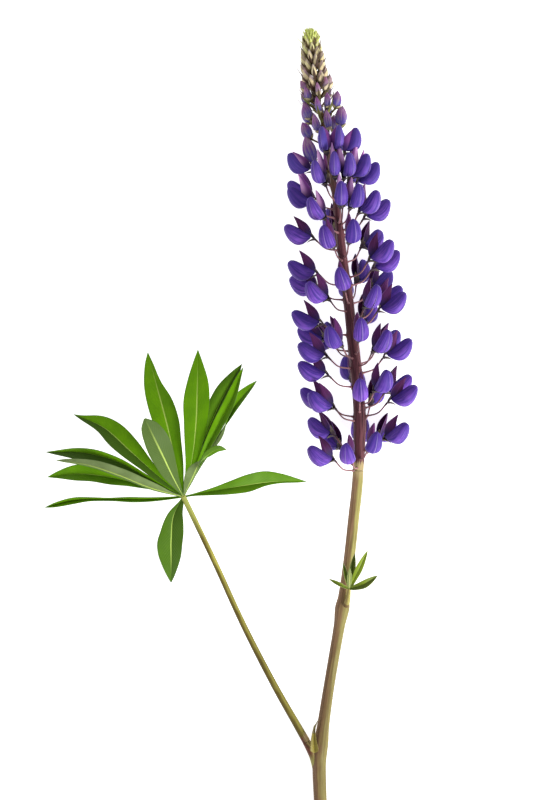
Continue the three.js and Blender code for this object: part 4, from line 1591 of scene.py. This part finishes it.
@dataclass
class BudTip:
    """The end of the spike, with its buds.

    The larger buds stand low, each given by its height, its bearing and how much longer its stalk is. The
    small ones wind round the axis from first to last, a turn apart in degrees. Crowding above 1 brings
    them closer at their foot, and below 1 towards the end.
    """

    low: tuple[tuple[float, float, float], ...] = (
        (162.4, -88, 0.4), (161.5, 172, 0), (164.6, -24, 0), (163, 130, 0), (164.5, 18, 0),
        (163.2, 90, 2.6), (167, -150, 0), (165, 114, 3.4), (172, -75, 0), (170.5, -108, 0), (172, 178, 0),
        (174, 146, 0), (173.8, -8, 0), (176.2, 34, 0.6), (174.5, 90, 2.4), (178, -160, 0), (179.6, -97, 1.2),
        (181.5, -58, 0.4), (181.5, 122, 1), (182, -130, 0), (184, 4, 0), (184, 174, 0), (185.5, 50, 0.4),
        (185.8, 90, 1.2), (186.5, -84, 0), (149, -72, -0.6),
    )
    first: float = 187.5
    last: float = 213.5
    count: int = 42
    turn: float = 137.5
    crowding: float = 0.9
    sides: int = 16
    rows: int = 40
    crown_count: int = 44

    FIRST_BEARING = 200
    # The crown's bracts, from the lowest to the highest one, which stands steeper and is shorter.
    CROWN_DEPTH, CROWN_CLIMB = 7.4, 6.2
    CROWN_ANGLE, CROWN_STEEPER, CROWN_ANGLE_SPREAD = 42, 32, 7
    CROWN_LENGTH, CROWN_SHORTER, CROWN_LENGTH_SPREAD = 7.8, 3.2, 0.7
    CROWN_CURL, CROWN_SAG, CROWN_HALF, CROWN_NARROW, CROWN_TAPER = 0.1, 0.5, 0.8, 0.12, 0.87
    CROWN_ROWS, CROWN_COLUMNS, CROWN_THICKNESS = 8, 5, 0.25
    HAIR_ROWS, HAIR_RADIUS, HAIR_LENGTH, HAIR_SPREAD = (3, 5, 7), 0.06, 0.9, 0.4

    def buds(self) -> list[Bud]:
        """The larger buds and the small ones above them.

        Returns:
            All buds.
        """
        placed = list(self.low)
        for k in range(self.count):
            height = self.first + (self.last - self.first) * (k / (self.count - 1)) ** self.crowding
            placed.append((height, self.FIRST_BEARING + k * self.turn, 0.0))
        return [Bud(*spot, number) for number, spot in enumerate(placed)]

    def axis(self) -> Sketch:
        """The slim end of the axis.

        Returns:
            A sketch of it.
        """
        sketch = Sketch()
        places = np.linspace(BUD_TIP_FOOT + CLEARANCE, SPIKE_END, self.rows)
        radii = np.tile(curve(RACHIS_RADIUS, places)[:, None], self.sides)
        sketch.tube(SPINE.rings(places, radii), np.linspace(0, 1, self.rows), Trait())
        return sketch

    def crown(self, silk: Sketch) -> Sketch:
        """The tuft of narrow bracts over the youngest buds, with hairs that go to another sketch.

        Args:
            silk: Where the hairs are added.

        Returns:
            A sketch of the bracts.
        """
        sketch = Sketch()
        rows = np.linspace(0, 1, self.CROWN_ROWS)[:, None]
        columns = np.linspace(-1, 1, self.CROWN_COLUMNS)
        half = self.CROWN_HALF * np.sin(math.pi * (self.CROWN_NARROW + self.CROWN_TAPER * rows)) * columns
        for k in range(self.crown_count):
            share = k / self.crown_count
            seat = Seat.at(SPIKE_END - self.CROWN_DEPTH + self.CROWN_CLIMB * share, self.turn * k, 0)
            lean = self.CROWN_ANGLE + self.CROWN_STEEPER * share + self.CROWN_ANGLE_SPREAD * draw(k + 0.2)
            angle = math.radians(lean)
            spread = self.CROWN_LENGTH_SPREAD * draw(k + 0.4)
            length = self.CROWN_LENGTH - self.CROWN_SHORTER * share + spread
            along = length * rows
            curl = self.CROWN_CURL * length * rows**2 * draw(k + 0.6)
            across = curl - self.CROWN_SAG * np.sin(math.pi * rows)
            grid = seat.place(*tilted(along, across, angle), half)
            sketch.shell(grid, columns, rows[:, 0], self.CROWN_THICKNESS, Trait.drawn(1.0, k, k + 0.8))
            for row in self.HAIR_ROWS:
                out = seat.out * (self.HAIR_LENGTH + self.HAIR_SPREAD * draw(k + row))
                way = out + seat.climb * self.HAIR_LENGTH + seat.side * draw(k * row + 0.5)
                silk.hair(grid[row, self.CROWN_COLUMNS // 2], way, self.HAIR_RADIUS, Trait())
        return sketch

    def build(self) -> None:
        """Builds the axis, stalks, petals, calyces, bracts and silk of the buds."""
        petals = BudSkin("bud_petals", low=(108, 92, 184), middle=(202, 176, 178), high=(222, 212, 164),
                         point=(160, 78, 152), pointing=0.75, silkiness=0.35, sheen=0.05,
                         relief=0.08).material()
        # The calyces' margin is painted shade in the gaps between the buds.
        calyces = BudSkin("bud_calyces", low=(190, 186, 116), middle=(252, 230, 178), high=(240, 240, 150),
                          point=(214, 176, 170), silk=(254, 246, 222), margin=(52, 32, 24), pointing=0.5,
                          silkiness=0.5, painted_gap_shade=0.7, roughness=0.6, sheen=0.2, relief=0.08).material()
        # The bracts' dark brown is partly their own colour and partly painted shade, so that they read as the
        # dark gaps between the buds.
        bracts = BudSkin("bud_bracts", low=(132, 140, 60), middle=(66, 40, 28), high=(84, 66, 30),
                         point=(60, 36, 30), silkiness=0.08, roughness=0.6, sheen=0.05,
                         relief=0.05).material()
        # The crown's margin is a little painted shade on its edges and foot.
        crown = BudSkin("bud_crown", high=(210, 222, 100), silk=(250, 250, 206), silkiness=0.5, painted_gap_shade=0.15,
                        margin=(96, 110, 30), sheen=0.15, relief=0.05).material()
        silk = PlainSkin("silk", body=(240, 238, 200), patch=(222, 220, 168), roughness=0.6).material()
        axis = StalkSkin("bud_axis", left=(92, 66, 44), right=(130, 104, 70), dark=(50, 32, 26),
                         tip=(96, 92, 44), tip_reach=0.6, roughness=0.6, relief=0.1).material()
        self.axis().build("bud_axis", axis, "bud_tip")
        sketches = {name: Sketch() for name in ("petals", "calyces", "bracts", "silk", "stalks")}
        for bud in self.buds():
            bud.petals(sketches["petals"])
            bud.lips(sketches["calyces"])
            bud.stalk(sketches["stalks"])
            bud.silk(sketches["silk"])
            if bud.share > Bud.BRACT_FROM:
                bud.bract(sketches["bracts"])
        sketches["crown"] = self.crown(sketches["silk"])
        finishes = {"petals": petals, "calyces": calyces, "bracts": bracts, "silk": silk, "stalks": axis,
                    "crown": crown}
        for name, sketch in sketches.items():
            sketch.build(f"bud_{name}", finishes[name], "bud_tip")


class Face(Enum):
    """Which face of a leaflet looks up where it leaves the hub."""

    UPPER = 1
    UNDER = -1


@dataclass(frozen=True)
class Leaflet:
    """One blade: a midrib with two halves that have their own widths, slopes and painted shade.

    Left and right are as seen from above when looking from the foot of the leaflet to its tip. The widths
    are those at SHARES but the first and last, and one below zero lies on the other side of the midrib,
    where the blade has twisted over. The slopes are the degrees by which the halves rise towards their
    edges, and the rises are the edges' heights above the midrib where the slopes don't give them. The
    painted shades say how much painted shade darkens each half, from 0 to 1, and face which face looks up.
    """

    midrib: tuple[Point, ...]
    left: tuple[float, ...]
    right: tuple[float, ...]
    slopes: Pair = (0, 0)
    painted_shades: Pair = (0, 0)
    face: Face = Face.UPPER
    left_rise: tuple[float, ...] = ()
    right_rise: tuple[float, ...] = ()
    tip: float = 0.06
    wave: float = 0.3
    rows: int = 60

    SHARES = (0, 0.08, 0.22, 0.36, 0.5, 0.64, 0.78, 0.92, 1)
    COLUMNS = (0, 0.03, 0.08, 0.16, 0.28, 0.42, 0.56, 0.7, 0.84, 0.94, 1)
    THICKNESS = 0.4
    FOOT_HALF = 0.35
    CUP = 0.12
    BREADTH = 1.1
    WAVES, WAVE_SHIFT, WAVE_FADE = 3.3, 0.5, 1.1
    RIB_HEIGHT, RIB_WIDTH, RIB_FADE = 0.16, 0.28, 0.7
    # Half the strip round the midrib in which the painted shade changes from one half's to the other's.
    SHADE_STRIP = 0.05

    def edge(self, widths: tuple[float, ...], rises: tuple[float, ...], slope: float,
             along: Array) -> tuple[Array, Array]:
        """The course of one edge.

        Args:
            widths: Its distances from the midrib.
            rises: Its heights above the midrib, if the slope doesn't give them.
            slope: Degrees by which its half rises towards it.
            along: Places along the blade.

        Returns:
            Its distance from the midrib and its height above it at each place.
        """
        foot = math.copysign(self.FOOT_HALF, widths[0])
        knots = list(zip(self.SHARES, (foot, *(self.BREADTH * width for width in widths), self.tip)))
        width = curve(knots, along)
        if rises:
            return width, curve(list(zip(self.SHARES, (0, *rises, 0))), along)
        return width, np.abs(width) * math.tan(math.radians(slope))

    def add(self, sketch: Sketch, seed: float) -> None:
        """Adds the blade to a sketch.

        Args:
            sketch: Where it is added.
            seed: Sets its waves and streaks.
        """
        columns = np.array([-c for c in self.COLUMNS[:0:-1]] + list(self.COLUMNS))
        distance = np.abs(columns)
        route = smooth_route(self.midrib, self.rows)
        along = np.linspace(0, 1, self.rows + 1)
        down = along[:, None]
        sideways = unit(np.cross(unit(np.gradient(route, axis=0)), UP))
        left_width, left_height = self.edge(self.left, self.left_rise, self.slopes[0], along)
        right_width, right_height = self.edge(self.right, self.right_rise, self.slopes[1], along)
        reach = np.where(columns < 0, -left_width[:, None], right_width[:, None]) * distance
        height = np.where(columns < 0, left_height[:, None], right_height[:, None])
        cup = distance + self.CUP * np.sin(math.pi * distance)
        phase = (self.WAVES + draw(seed)) * down + self.WAVE_SHIFT * np.sign(columns) + draw(seed + 0.3)
        fade = np.sin(math.pi * np.minimum(down * self.WAVE_FADE, 1))
        ripple = self.wave * np.sin(2 * math.pi * phase) * distance**2 * fade
        rib = self.RIB_HEIGHT * np.exp(-((reach / self.RIB_WIDTH) ** 2)) * (1 - self.RIB_FADE * down)
        rise = height * cup + ripple - rib * self.face.value
        grid = route[:, None, :] + reach[..., None] * sideways[:, None, :] + rise[..., None] * UP
        # Painted shade of each half, which the finish reads as darker green.
        shade_share = np.interp(columns, (-self.SHADE_STRIP, self.SHADE_STRIP), self.painted_shades)
        if self.face is Face.UPPER:
            grid, columns, shade_share = grid[:, ::-1], columns[::-1], shade_share[::-1]
        sketch.shell(grid, columns, along, self.THICKNESS, Trait.drawn(shade_share, seed + 0.6, seed + 0.1))


@dataclass
class PalmateLeaf:
    """The large leaf: its ribbed stalk and its leaflets, clockwise from the top of the picture."""

    hub: Point = (-86.7, -13.2, 26.5)
    stalk: tuple[Point, ...] = (
        (-25.3, -136.55, 7.75), (-29.0, -130, 9.3), (-41.6, -107.5, 13.6), (-56.8, -77.5, 18.7),
        (-70.4, -47.5, 23), (-81.0, -25, 25.6), (-86.7, -13.2, 26.5),
    )
    stalk_radius: Knots = ((0, 2.0), (0.05, 1.9), (0.12, 1.8), (0.5, 1.5), (1, 1.3))
    hub_radius: float = 1.5
    # The pair of shares after each leaflet's slopes, and those given by keyword, are painted shade on its two
    # halves.
    leaflets: tuple[Leaflet, ...] = (
        Leaflet((hub, (-90.7, 5, 27), (-94.9, 23, 25.3), (-99.6, 40.5, 21), (-104.8, 59, 14)),
                (0.8, 2.4, 4.3, 5.9, 6.4, 5.6, 2.8), (1.4, 3.4, 4.6, 5.8, 5.1, 2.3, 1.0),
                (9, 6), (0.05, 0.12)),
        Leaflet((hub, (-82.4, 4.7, 29.6), (-80.3, 23, 29.8), (-79.7, 41.2, 27), (-79.5, 60.3, 21)),
                (0.9, 2.6, 4.4, 5.6, 6.2, 4.6, 1.9), (0.8, 2.3, 3.8, 5.0, 5.7, 4.9, 2.0),
                (7, 9), (0.15, 0)),
        Leaflet((hub, (-80.8, 4, 22), (-74.1, 21, 17), (-66.6, 37.3, 11), (-57.6, 53.2, 4)),
                (0.7, 1.6, 2.6, 4.0, 4.9, 4.6, 2.2), (0.9, 2.4, 3.7, 4.2, 4.3, 3.3, 1.5),
                (30, 38), (0.6, 1)),
        Leaflet((hub, (-78.6, 3.6, 30.5), (-70.6, 19.3, 31.8), (-62.6, 34.8, 30), (-56.8, 51.5, 25)),
                (0.6, 1.1, 1.9, 2.8, 3.2, 3.0, 1.6), (0.5, 0.9, 1.3, 1.9, 2.1, 1.5, 0.6),
                (14, 44), (0, 0.4)),
        Leaflet((hub, (-76, 7, 27), (-66.8, 21, 25.3), (-59.2, 34, 20), (-50, 44.8, 12)),
                (-0.3, -0.8, -1.5, -1.8, 1.2, 3.3, 1.8), (-0.2, -0.3, -0.4, -0.2, 0.8, 1.5, 0.9),
                painted_shades=(0.1, 0.55), left_rise=(0.4, 1.2, 2.2, 3.2, 3.2, 1.4, 0.6),
                right_rise=(0.3, 0.6, 1.0, 1.6, 2.2, 1.4, 0.5)),
        Leaflet((hub, (-81.9, -3.4, 38), (-78.6, 3.2, 45), (-74.8, 7.5, 49), (-69.6, 10.6, 50),
                 (-64.9, 10.6, 48)),
                (-0.3, -0.7, -0.9, -0.9, 0.2, 1.9, 1.6), (-0.9, -2.6, -3.7, -3.2, -0.6, 1.2, 1.0),
                painted_shades=(0.7, 0.5), left_rise=(-0.2, -0.6, -1.0, -0.6, 1.6, 1.2, 0.5),
                right_rise=(0, 0, 0, -0.8, -1.8, -0.6, -0.2), wave=0.1),
        Leaflet((hub, (-71.5, -10.3, 27.4), (-56.3, -7.7, 24.8), (-40.8, -5.9, 18.6), (-25.1, -6, 9)),
                (0.6, 1.5, 3.1, 4.8, 5.3, 3.6, 1.4), (0.6, 1.8, 2.9, 3.1, 1.5, 0.8, 0.5),
                (18, 34), (0.45, 0.45)),
        Leaflet((hub, (-91.7, -22.8, 23.6), (-92.9, -34.2, 18.2), (-93.1, -45.8, 10.4),
                 (-93.4, -57.3, 0.4)),
                (2.2, 4.7, 5.5, 5.2, 4.6, 3.2, 1.4), (0.9, 2.9, 4.8, 6.3, 5.9, 4.1, 1.7),
                (14, 14), (0.95, 0.8)),
        Leaflet((hub, (-104.3, -14.7, 23.6), (-122, -14.7, 18.7), (-139.7, -15.3, 11.9),
                 (-157, -19.2, 3)),
                (0.6, 0.9, 1.1, 0.7, 0.8, 1.4, 1.0), (0.5, 1.0, 1.2, 0.7, 1.0, 1.6, 1.1),
                (62, 62), (0.25, 0.3), wave=0.2),
        Leaflet((hub, (-103.7, -8.4, 25.6), (-120.6, -4.2, 21.7), (-138, -2.1, 14.9), (-155.7, -3.8, 5)),
                (0.5, 0.9, 2.0, 3.1, 3.1, 2.9, 1.1), (0.6, 1.6, 3.0, 4.2, 5.0, 4.2, 2.0),
                (34, 26), (0.45, 0.02), wave=0.5),
        Leaflet((hub, (-102.9, -8.7, 32), (-118.3, -2.5, 32.6), (-134.2, 2.6, 28.6), (-150.4, 4.9, 20)),
                (0.4, 0.7, 0.8, 0.8, 0.7, 0.6, 0.4), (0.7, 2.6, 3.3, 3.4, 3.2, 2.2, 1.2),
                (-55, -16), (0.9, 0.1), Face.UNDER, wave=0.15),
        Leaflet((hub, (-103.3, -4.6, 28.4), (-119.4, 4.3, 26.4), (-137.3, 8.8, 20), (-156.2, 8.8, 9)),
                (0.6, 2.2, 3.3, 4.0, 4.3, 3.3, 1.4), (0.6, 1.2, 1.5, 1.9, 2.3, 1.7, 0.7),
                (30, 52), (1, 0.12), wave=0.2),
        Leaflet((hub, (-100.2, -1.9, 30.2), (-113.1, 9.6, 29.8), (-126.2, 21, 25.5), (-141.8, 27.8, 17)),
                (0.8, 2.2, 3.0, 4.0, 4.4, 2.7, 1.2), (0.7, 1.8, 3.7, 5.6, 6.1, 4.6, 1.4),
                (32, 14), (0.92, 0), wave=0.2),
        Leaflet((hub, (-91.6, -3.2, 37.3), (-96, 6.6, 46.2), (-100.6, 16.4, 53), (-105, 25.9, 57.6)),
                (0.9, 2.6, 4.2, 5.0, 5.4, 4.9, 3.4), (0.9, 2.0, 3.2, 4.6, 5.8, 5.9, 4.0),
                (-10, -10), (0.95, 1), Face.UNDER, tip=0.5, wave=0.1),
    )

    STALK_STEPS, STALK_SIDES, STALK_RIBS, STALK_RIB_HEIGHT = 70, 20, 6, 0.05
    KNOB_ROWS, KNOB_SIDES, KNOB_HEIGHT, KNOB_LEAST = 9, 18, 0.75, 0.05
    SEED_STEP = 3.7

    def stalk_sketch(self) -> Sketch:
        """The stalk with its ribs and the small knob that the leaflets spread from.

        Returns:
            A sketch of both.
        """
        sketch = Sketch()
        route = smooth_route(self.stalk, self.STALK_STEPS)
        along = np.linspace(0, 1, len(route))
        rings = tube_through(route, curve(self.stalk_radius, along), self.STALK_SIDES)
        middles = rings.mean(1, keepdims=True)
        ribs = 1 + self.STALK_RIB_HEIGHT * np.sin(self.STALK_RIBS * turns(self.STALK_SIDES))
        sketch.tube(middles + (rings - middles) * ribs[None, :, None], along, Trait())
        across, ahead = np.array([1.0, 0, 0]), np.array([0, 1.0, 0])
        knob = []
        for angle in np.linspace(0, math.pi, self.KNOB_ROWS):
            centre = np.array(self.hub) - UP * self.KNOB_HEIGHT * self.hub_radius * math.cos(angle)
            radius = self.hub_radius * max(math.sin(angle), self.KNOB_LEAST)
            knob.append(ring_about(centre, across, ahead, np.full(self.KNOB_SIDES, radius)))
        sketch.tube(np.array(knob), np.full(self.KNOB_ROWS, 1.0), Trait())
        return sketch

    def build(self) -> None:
        """Builds the stalk and each leaflet."""
        stalk = StalkSkin("leaf_stalk", left=(112, 98, 38), right=(188, 180, 84), dark=(82, 68, 28),
                          foot=(100, 54, 44), foot_right=(214, 186, 138), foot_reach=0.035,
                          tip=(180, 186, 96), tip_reach=0.82, shade=0.5, fineness=3.0, stretch=10.0,
                          roughness=0.5, relief=0.15).material()
        blade = LeafSkin("leaflet", gloss=0.1, relief=0.12).material()
        self.stalk_sketch().build("leaf_stalk", stalk, "leaf")
        for number, leaflet in enumerate(self.leaflets, start=1):
            sketch = Sketch()
            leaflet.add(sketch, self.SEED_STEP * number)
            sketch.build(f"leaflet_{number:02d}", blade, "leaf")


@dataclass
class YoungLeaf:
    """The small leaf at the upper joint, in front of the stem.

    Each leaflet is given by its tip, the height by which its middle is raised, the distance by which that
    is bowed back towards the foot of the stem, its widest half width, its slopes, its painted shade and its
    face.
    """

    hub: Point = (-3.9, -59.4, 21)
    stalk: tuple[Point, ...] = ((-5.5, -68.2, 17.65), (-4.6, -65, 19.4), (-3.9, -59.4, 21))
    stalk_radius: Knots = ((0, 1.5), (0.3, 1.35), (1, 0.8))
    blades: tuple[tuple[Point, float, float, float, Pair, Pair, Face], ...] = (
        ((-14, -54.4, 23), 1.5, 0, 0.9, (30, 30), (0.8, 0.5), Face.UPPER),
        ((-7, -46.3, 24.5), 1.5, 0, 1.0, (30, 50), (0.5, 0.9), Face.UPPER),
        ((-3.8, -48.5, 29), 1.0, 0, 1.2, (-14, -14), (0.3, 0.5), Face.UNDER),
        ((-1.2, -41.7, 23.5), 1.5, 0, 1.4, (40, 30), (1.0, 0.8), Face.UPPER),
        ((5.1, -40, 28), 1.8, 0, 1.6, (12, 20), (0.0, 0.2), Face.UPPER),
        ((10.1, -52.6, 25), 2.4, 1.0, 1.8, (20, 34), (0.4, 0.8), Face.UPPER),
    )

    STALK_STEPS, STALK_SIDES = 12, 12
    # Half width of a leaflet along it as a share of the widest, and the steps and waves along it.
    PROFILE = (0.5, 0.72, 0.88, 1.0, 0.95, 0.72, 0.36)
    ROWS, WAVE = 24, 0.1
    FIRST_SEED, SEED_STEP = 50, 2.3

    def leaflets(self) -> list[Leaflet]:
        """The narrow leaflets, which arch from the hub to their tips.

        Returns:
            The leaflets.
        """
        made = []
        for tip, arch, sag, half, *look in self.blades:
            middle = tuple((a + b) / 2 + c for a, b, c in zip(self.hub, tip, (0, -sag, arch)))
            widths = tuple(half * share for share in self.PROFILE)
            route = (self.hub, middle, tip)
            made.append(Leaflet(route, widths, widths, *look, wave=self.WAVE, rows=self.ROWS))
        return made

    def build(self) -> None:
        """Builds the stalk and the leaflets."""
        stalk = StalkSkin("young_leaf_stalk", left=(164, 146, 88), right=(188, 180, 96), dark=(120, 104, 60),
                          foot=(116, 92, 56), foot_reach=0.22, sheen=0.05, relief=0.08).material()
        # The darker greens of the young leaflets are painted shade.
        blade = LeafSkin("young_leaflet", body=(160, 182, 40), deep=(128, 152, 40), painted_shade=(84, 100, 38),
                         under=(164, 178, 108), under_mottle_and_shade=(110, 124, 60), midrib=(206, 212, 124),
                         edge=(204, 204, 138), veins=14.0, roughness=0.5, sheen=0.05, subsurface=0.1,
                         relief=0.08).material()
        sketch = Sketch()
        sketch.stalk(self.stalk, self.STALK_STEPS, self.stalk_radius, self.STALK_SIDES, Trait())
        sketch.build("young_leaf_stalk", stalk, "young_leaf")
        blades = Sketch()
        for number, leaflet in enumerate(self.leaflets()):
            leaflet.add(blades, self.FIRST_SEED + self.SEED_STEP * number)
        blades.build("young_leaflets", blade, "young_leaf")


@dataclass
class Shoot:
    """The small shoot in the angle between the stem and the large leaf's stalk.

    Each blade is given by its foot, its middle, its tip, its widest half width and how much painted shade it
    has.
    """

    stalk: tuple[Point, ...] = ((-20.8, -139.2, 10.8), (-21.4, -136.9, 11.7), (-21.7, -134.6, 12.6))
    stalk_radius: Knots = ((0, 1.3), (1, 0.8))
    blades: tuple[tuple[Point, Point, Point, float, float], ...] = (
        ((-21.0, -142.2, 11.2), (-21.6, -135.4, 13.2), (-21.3, -128.1, 14.2), 1.75, 0.2),
        ((-21.6, -132.4, 13.9), (-20.9, -128.8, 14.8), (-19.5, -125.5, 15.5), 0.5, 0.9),
    )

    # The stalk's steps, sides and share of painted shade.
    STALK_STEPS, STALK_SIDES, STALK_TONE = 8, 12, 0.3
    # Half width of a blade along it as a share of the widest, and the steps and waves along it; one half of
    # each blade gets more painted shade than the other.
    PROFILE = (1.0, 1.0, 0.85, 0.7, 0.54, 0.37, 0.18)
    ROWS, WAVE, SLOPES, DULLER, FIRST_SEED = 24, 0.05, (30, 24), 0.3, 80

    def build(self) -> None:
        """Builds the shoot's stalk and its two blades."""
        # Its darker greens are painted shade.
        blade = LeafSkin("shoot_blade", body=(168, 156, 60), deep=(136, 124, 50), painted_shade=(88, 76, 44),
                         under=(156, 152, 84), midrib=(186, 180, 96), edge=(130, 112, 60), veins=10.0,
                         roughness=0.5, sheen=0.05, relief=0.06).material()
        sketch = Sketch()
        for foot, middle, tip, half, shade_share in self.blades:
            widths = tuple(half * share for share in self.PROFILE)
            leaflet = Leaflet((foot, middle, tip), widths, widths, self.SLOPES,
                              (shade_share, min(shade_share + self.DULLER, 1)), wave=self.WAVE, rows=self.ROWS)
            leaflet.add(sketch, self.FIRST_SEED + half)
        sketch.stalk(self.stalk, self.STALK_STEPS, self.stalk_radius, self.STALK_SIDES,
                     Trait(self.STALK_TONE))
        sketch.build("shoot_blades", blade, "axillary_shoot")


@dataclass
class Stem:
    """The leafy stem with its two joints, its cut foot and the stub that carries the large leaf."""

    radius: Knots = (
        (-170.5, 3.3), (-150, 3.5), (-139, 3.85), (-130, 3.2), (-115, 2.85), (-100, 2.75), (-78, 2.9),
        (-72, 3.5), (-68.5, 3.65), (-64, 3.0), (-45, 2.8), (-20, 2.75), (0, 2.7),
    )
    stub_route: tuple[Point, ...] = (
        (-18.6, -156, 4.6), (-19.5, -149.5, 5.1), (-21, -144.4, 5.8), (-23.2, -140.2, 6.7),
        (-25.3, -136.8, 7.65),
    )
    stub_radius: Knots = ((0, 2.3), (0.3, 2.85), (0.6, 2.7), (0.85, 2.25), (1, 1.95))
    sides: int = 40
    step: float = 1.2

    RIBS, RIB_HEIGHT, RIB_TWIST = 8, 0.022, 0.01
    FINE_RIBS, FINE_RIB_HEIGHT, FINE_RIB_TURN = 15, 0.012, 1
    STUB_STEPS, STUB_SIDES = 16, 20

    def sketch(self) -> Sketch:
        """The ribbed stem.

        Returns:
            A sketch of it.
        """
        sketch = Sketch()
        end = RACEME_FOOT - CLEARANCE
        count = round((end - STEM_FOOT) / self.step)
        places = np.linspace(STEM_FOOT, end, count + 1)
        turn = turns(self.sides)
        ribs = self.RIB_HEIGHT * np.sin(self.RIBS * turn + self.RIB_TWIST * places[:, None])
        fine = self.FINE_RIB_HEIGHT * np.sin(self.FINE_RIBS * turn + self.FINE_RIB_TURN)
        radii = curve(self.radius, places)[:, None] * (1 + ribs + fine)
        sketch.tube(SPINE.rings(places, radii), np.linspace(0, 1, count + 1), Trait())
        return sketch

    def build(self) -> None:
        """Builds the stem and the stub."""
        finish = StalkSkin("stem", left=(161, 125, 95), right=(172, 164, 93), dark=(92, 70, 42),
                           foot=(208, 204, 158), foot_reach=0.004, tip=(186, 166, 118), tip_reach=0.965,
                           fineness=4.0, stretch=12.0, shade=0.5, roughness=0.5, sheen=0.03,
                           relief=0.25).material()
        self.sketch().build("leafy_stem", finish, "stem")
        collar = StalkSkin("stub", left=(106, 64, 48), right=(214, 190, 132), dark=(80, 46, 36),
                           foot=(158, 152, 84), foot_reach=0.75, fineness=4.0, stretch=4.0, roughness=0.5,
                           relief=0.15).material()
        stub = Sketch()
        stub.stalk(self.stub_route, self.STUB_STEPS, self.stub_radius, self.STUB_SIDES, Trait())
        stub.build("stub", collar, "stem")


@dataclass(frozen=True)
class Lamp:
    """A square soft light: its name, its place in metres, its size and its power."""

    name: str
    place: Point
    size: float
    power: float

    def build(self) -> None:
        """Hangs the light so that it shines on the plant."""
        data = bpy.data.lights.new(self.name, "AREA")
        data.size = self.size
        data.energy = self.power
        lamp = bpy.data.objects.new(self.name, data)
        lamp.location = self.place
        x, y, z = self.place
        lamp.rotation_euler = (math.atan2(math.hypot(x, y), z), 0, math.atan2(x, -y))
        bpy.context.scene.collection.objects.link(lamp)


@dataclass
class Studio:
    """Pale floor, soft light and the camera that looks straight down.

    The camera's place is in the plant's layout, and the floor's side and drop are in metres.
    """

    camera_place: Point = (-45.25, 35.0, 2020.0)
    lens: float = 180.0
    sensor: float = 36.0
    floor_size: float = 6.0
    floor_drop: float = 0.00005
    lamps: tuple[Lamp, ...] = (
        Lamp("key", (1.2, -1.1, 1.0), 0.6, 34),
        Lamp("fill", (-0.8, 0.9, 1.6), 1.6, 3),
    )
    daylight: float = 0.42

    def floor(self) -> None:
        """A wide pale floor just under the plant."""
        half = self.floor_size / 2
        corners = [(x * half, y * half, -self.floor_drop) for x, y in ((-1, -1), (1, -1), (1, 1), (-1, 1))]
        mesh = bpy.data.meshes.new("floor")
        mesh.from_pydata(corners, [], [(0, 1, 2, 3)])
        mesh.materials.append(PlainSkin("floor", body=(246, 246, 246), patch=(244, 244, 244), size=80.0,
                                        roughness=0.9, glow=0.8).material())
        floor = bpy.data.objects.new("floor", mesh)
        bpy.context.scene.collection.objects.link(floor)

    def camera(self) -> None:
        """The camera at the photograph's angle, which is straight down on the lying plant."""
        data = bpy.data.cameras.new("camera")
        data.lens = self.lens
        data.sensor_width = self.sensor
        camera = bpy.data.objects.new("camera", data)
        camera.location = (np.array(self.camera_place) + LAYOUT_ORIGIN) * MILLIMETRE
        bpy.context.scene.collection.objects.link(camera)
        bpy.context.scene.camera = camera

    def build(self) -> None:
        """Sets the stage."""
        self.floor()
        self.camera()
        for lamp in self.lamps:
            lamp.build()
        world = bpy.data.worlds.new("studio")
        world.use_nodes = True
        sky = world.node_tree.nodes["Background"]
        ShaderSketch(world.node_tree).feed(sky, {"Color": (1, 1, 1, 1), "Strength": self.daylight})
        bpy.context.scene.world = world
        bpy.context.scene.view_settings.view_transform = "Standard"


def main() -> None:
    """Builds the plant and its studio."""
    logging.basicConfig(level=logging.INFO, format="%(name)s: %(message)s")
    Studio().build()
    Stem().build()
    Raceme().build()
    BudTip().build()
    PalmateLeaf().build()
    YoungLeaf().build()
    Shoot().build()


if __name__ == "__main__":
    main()
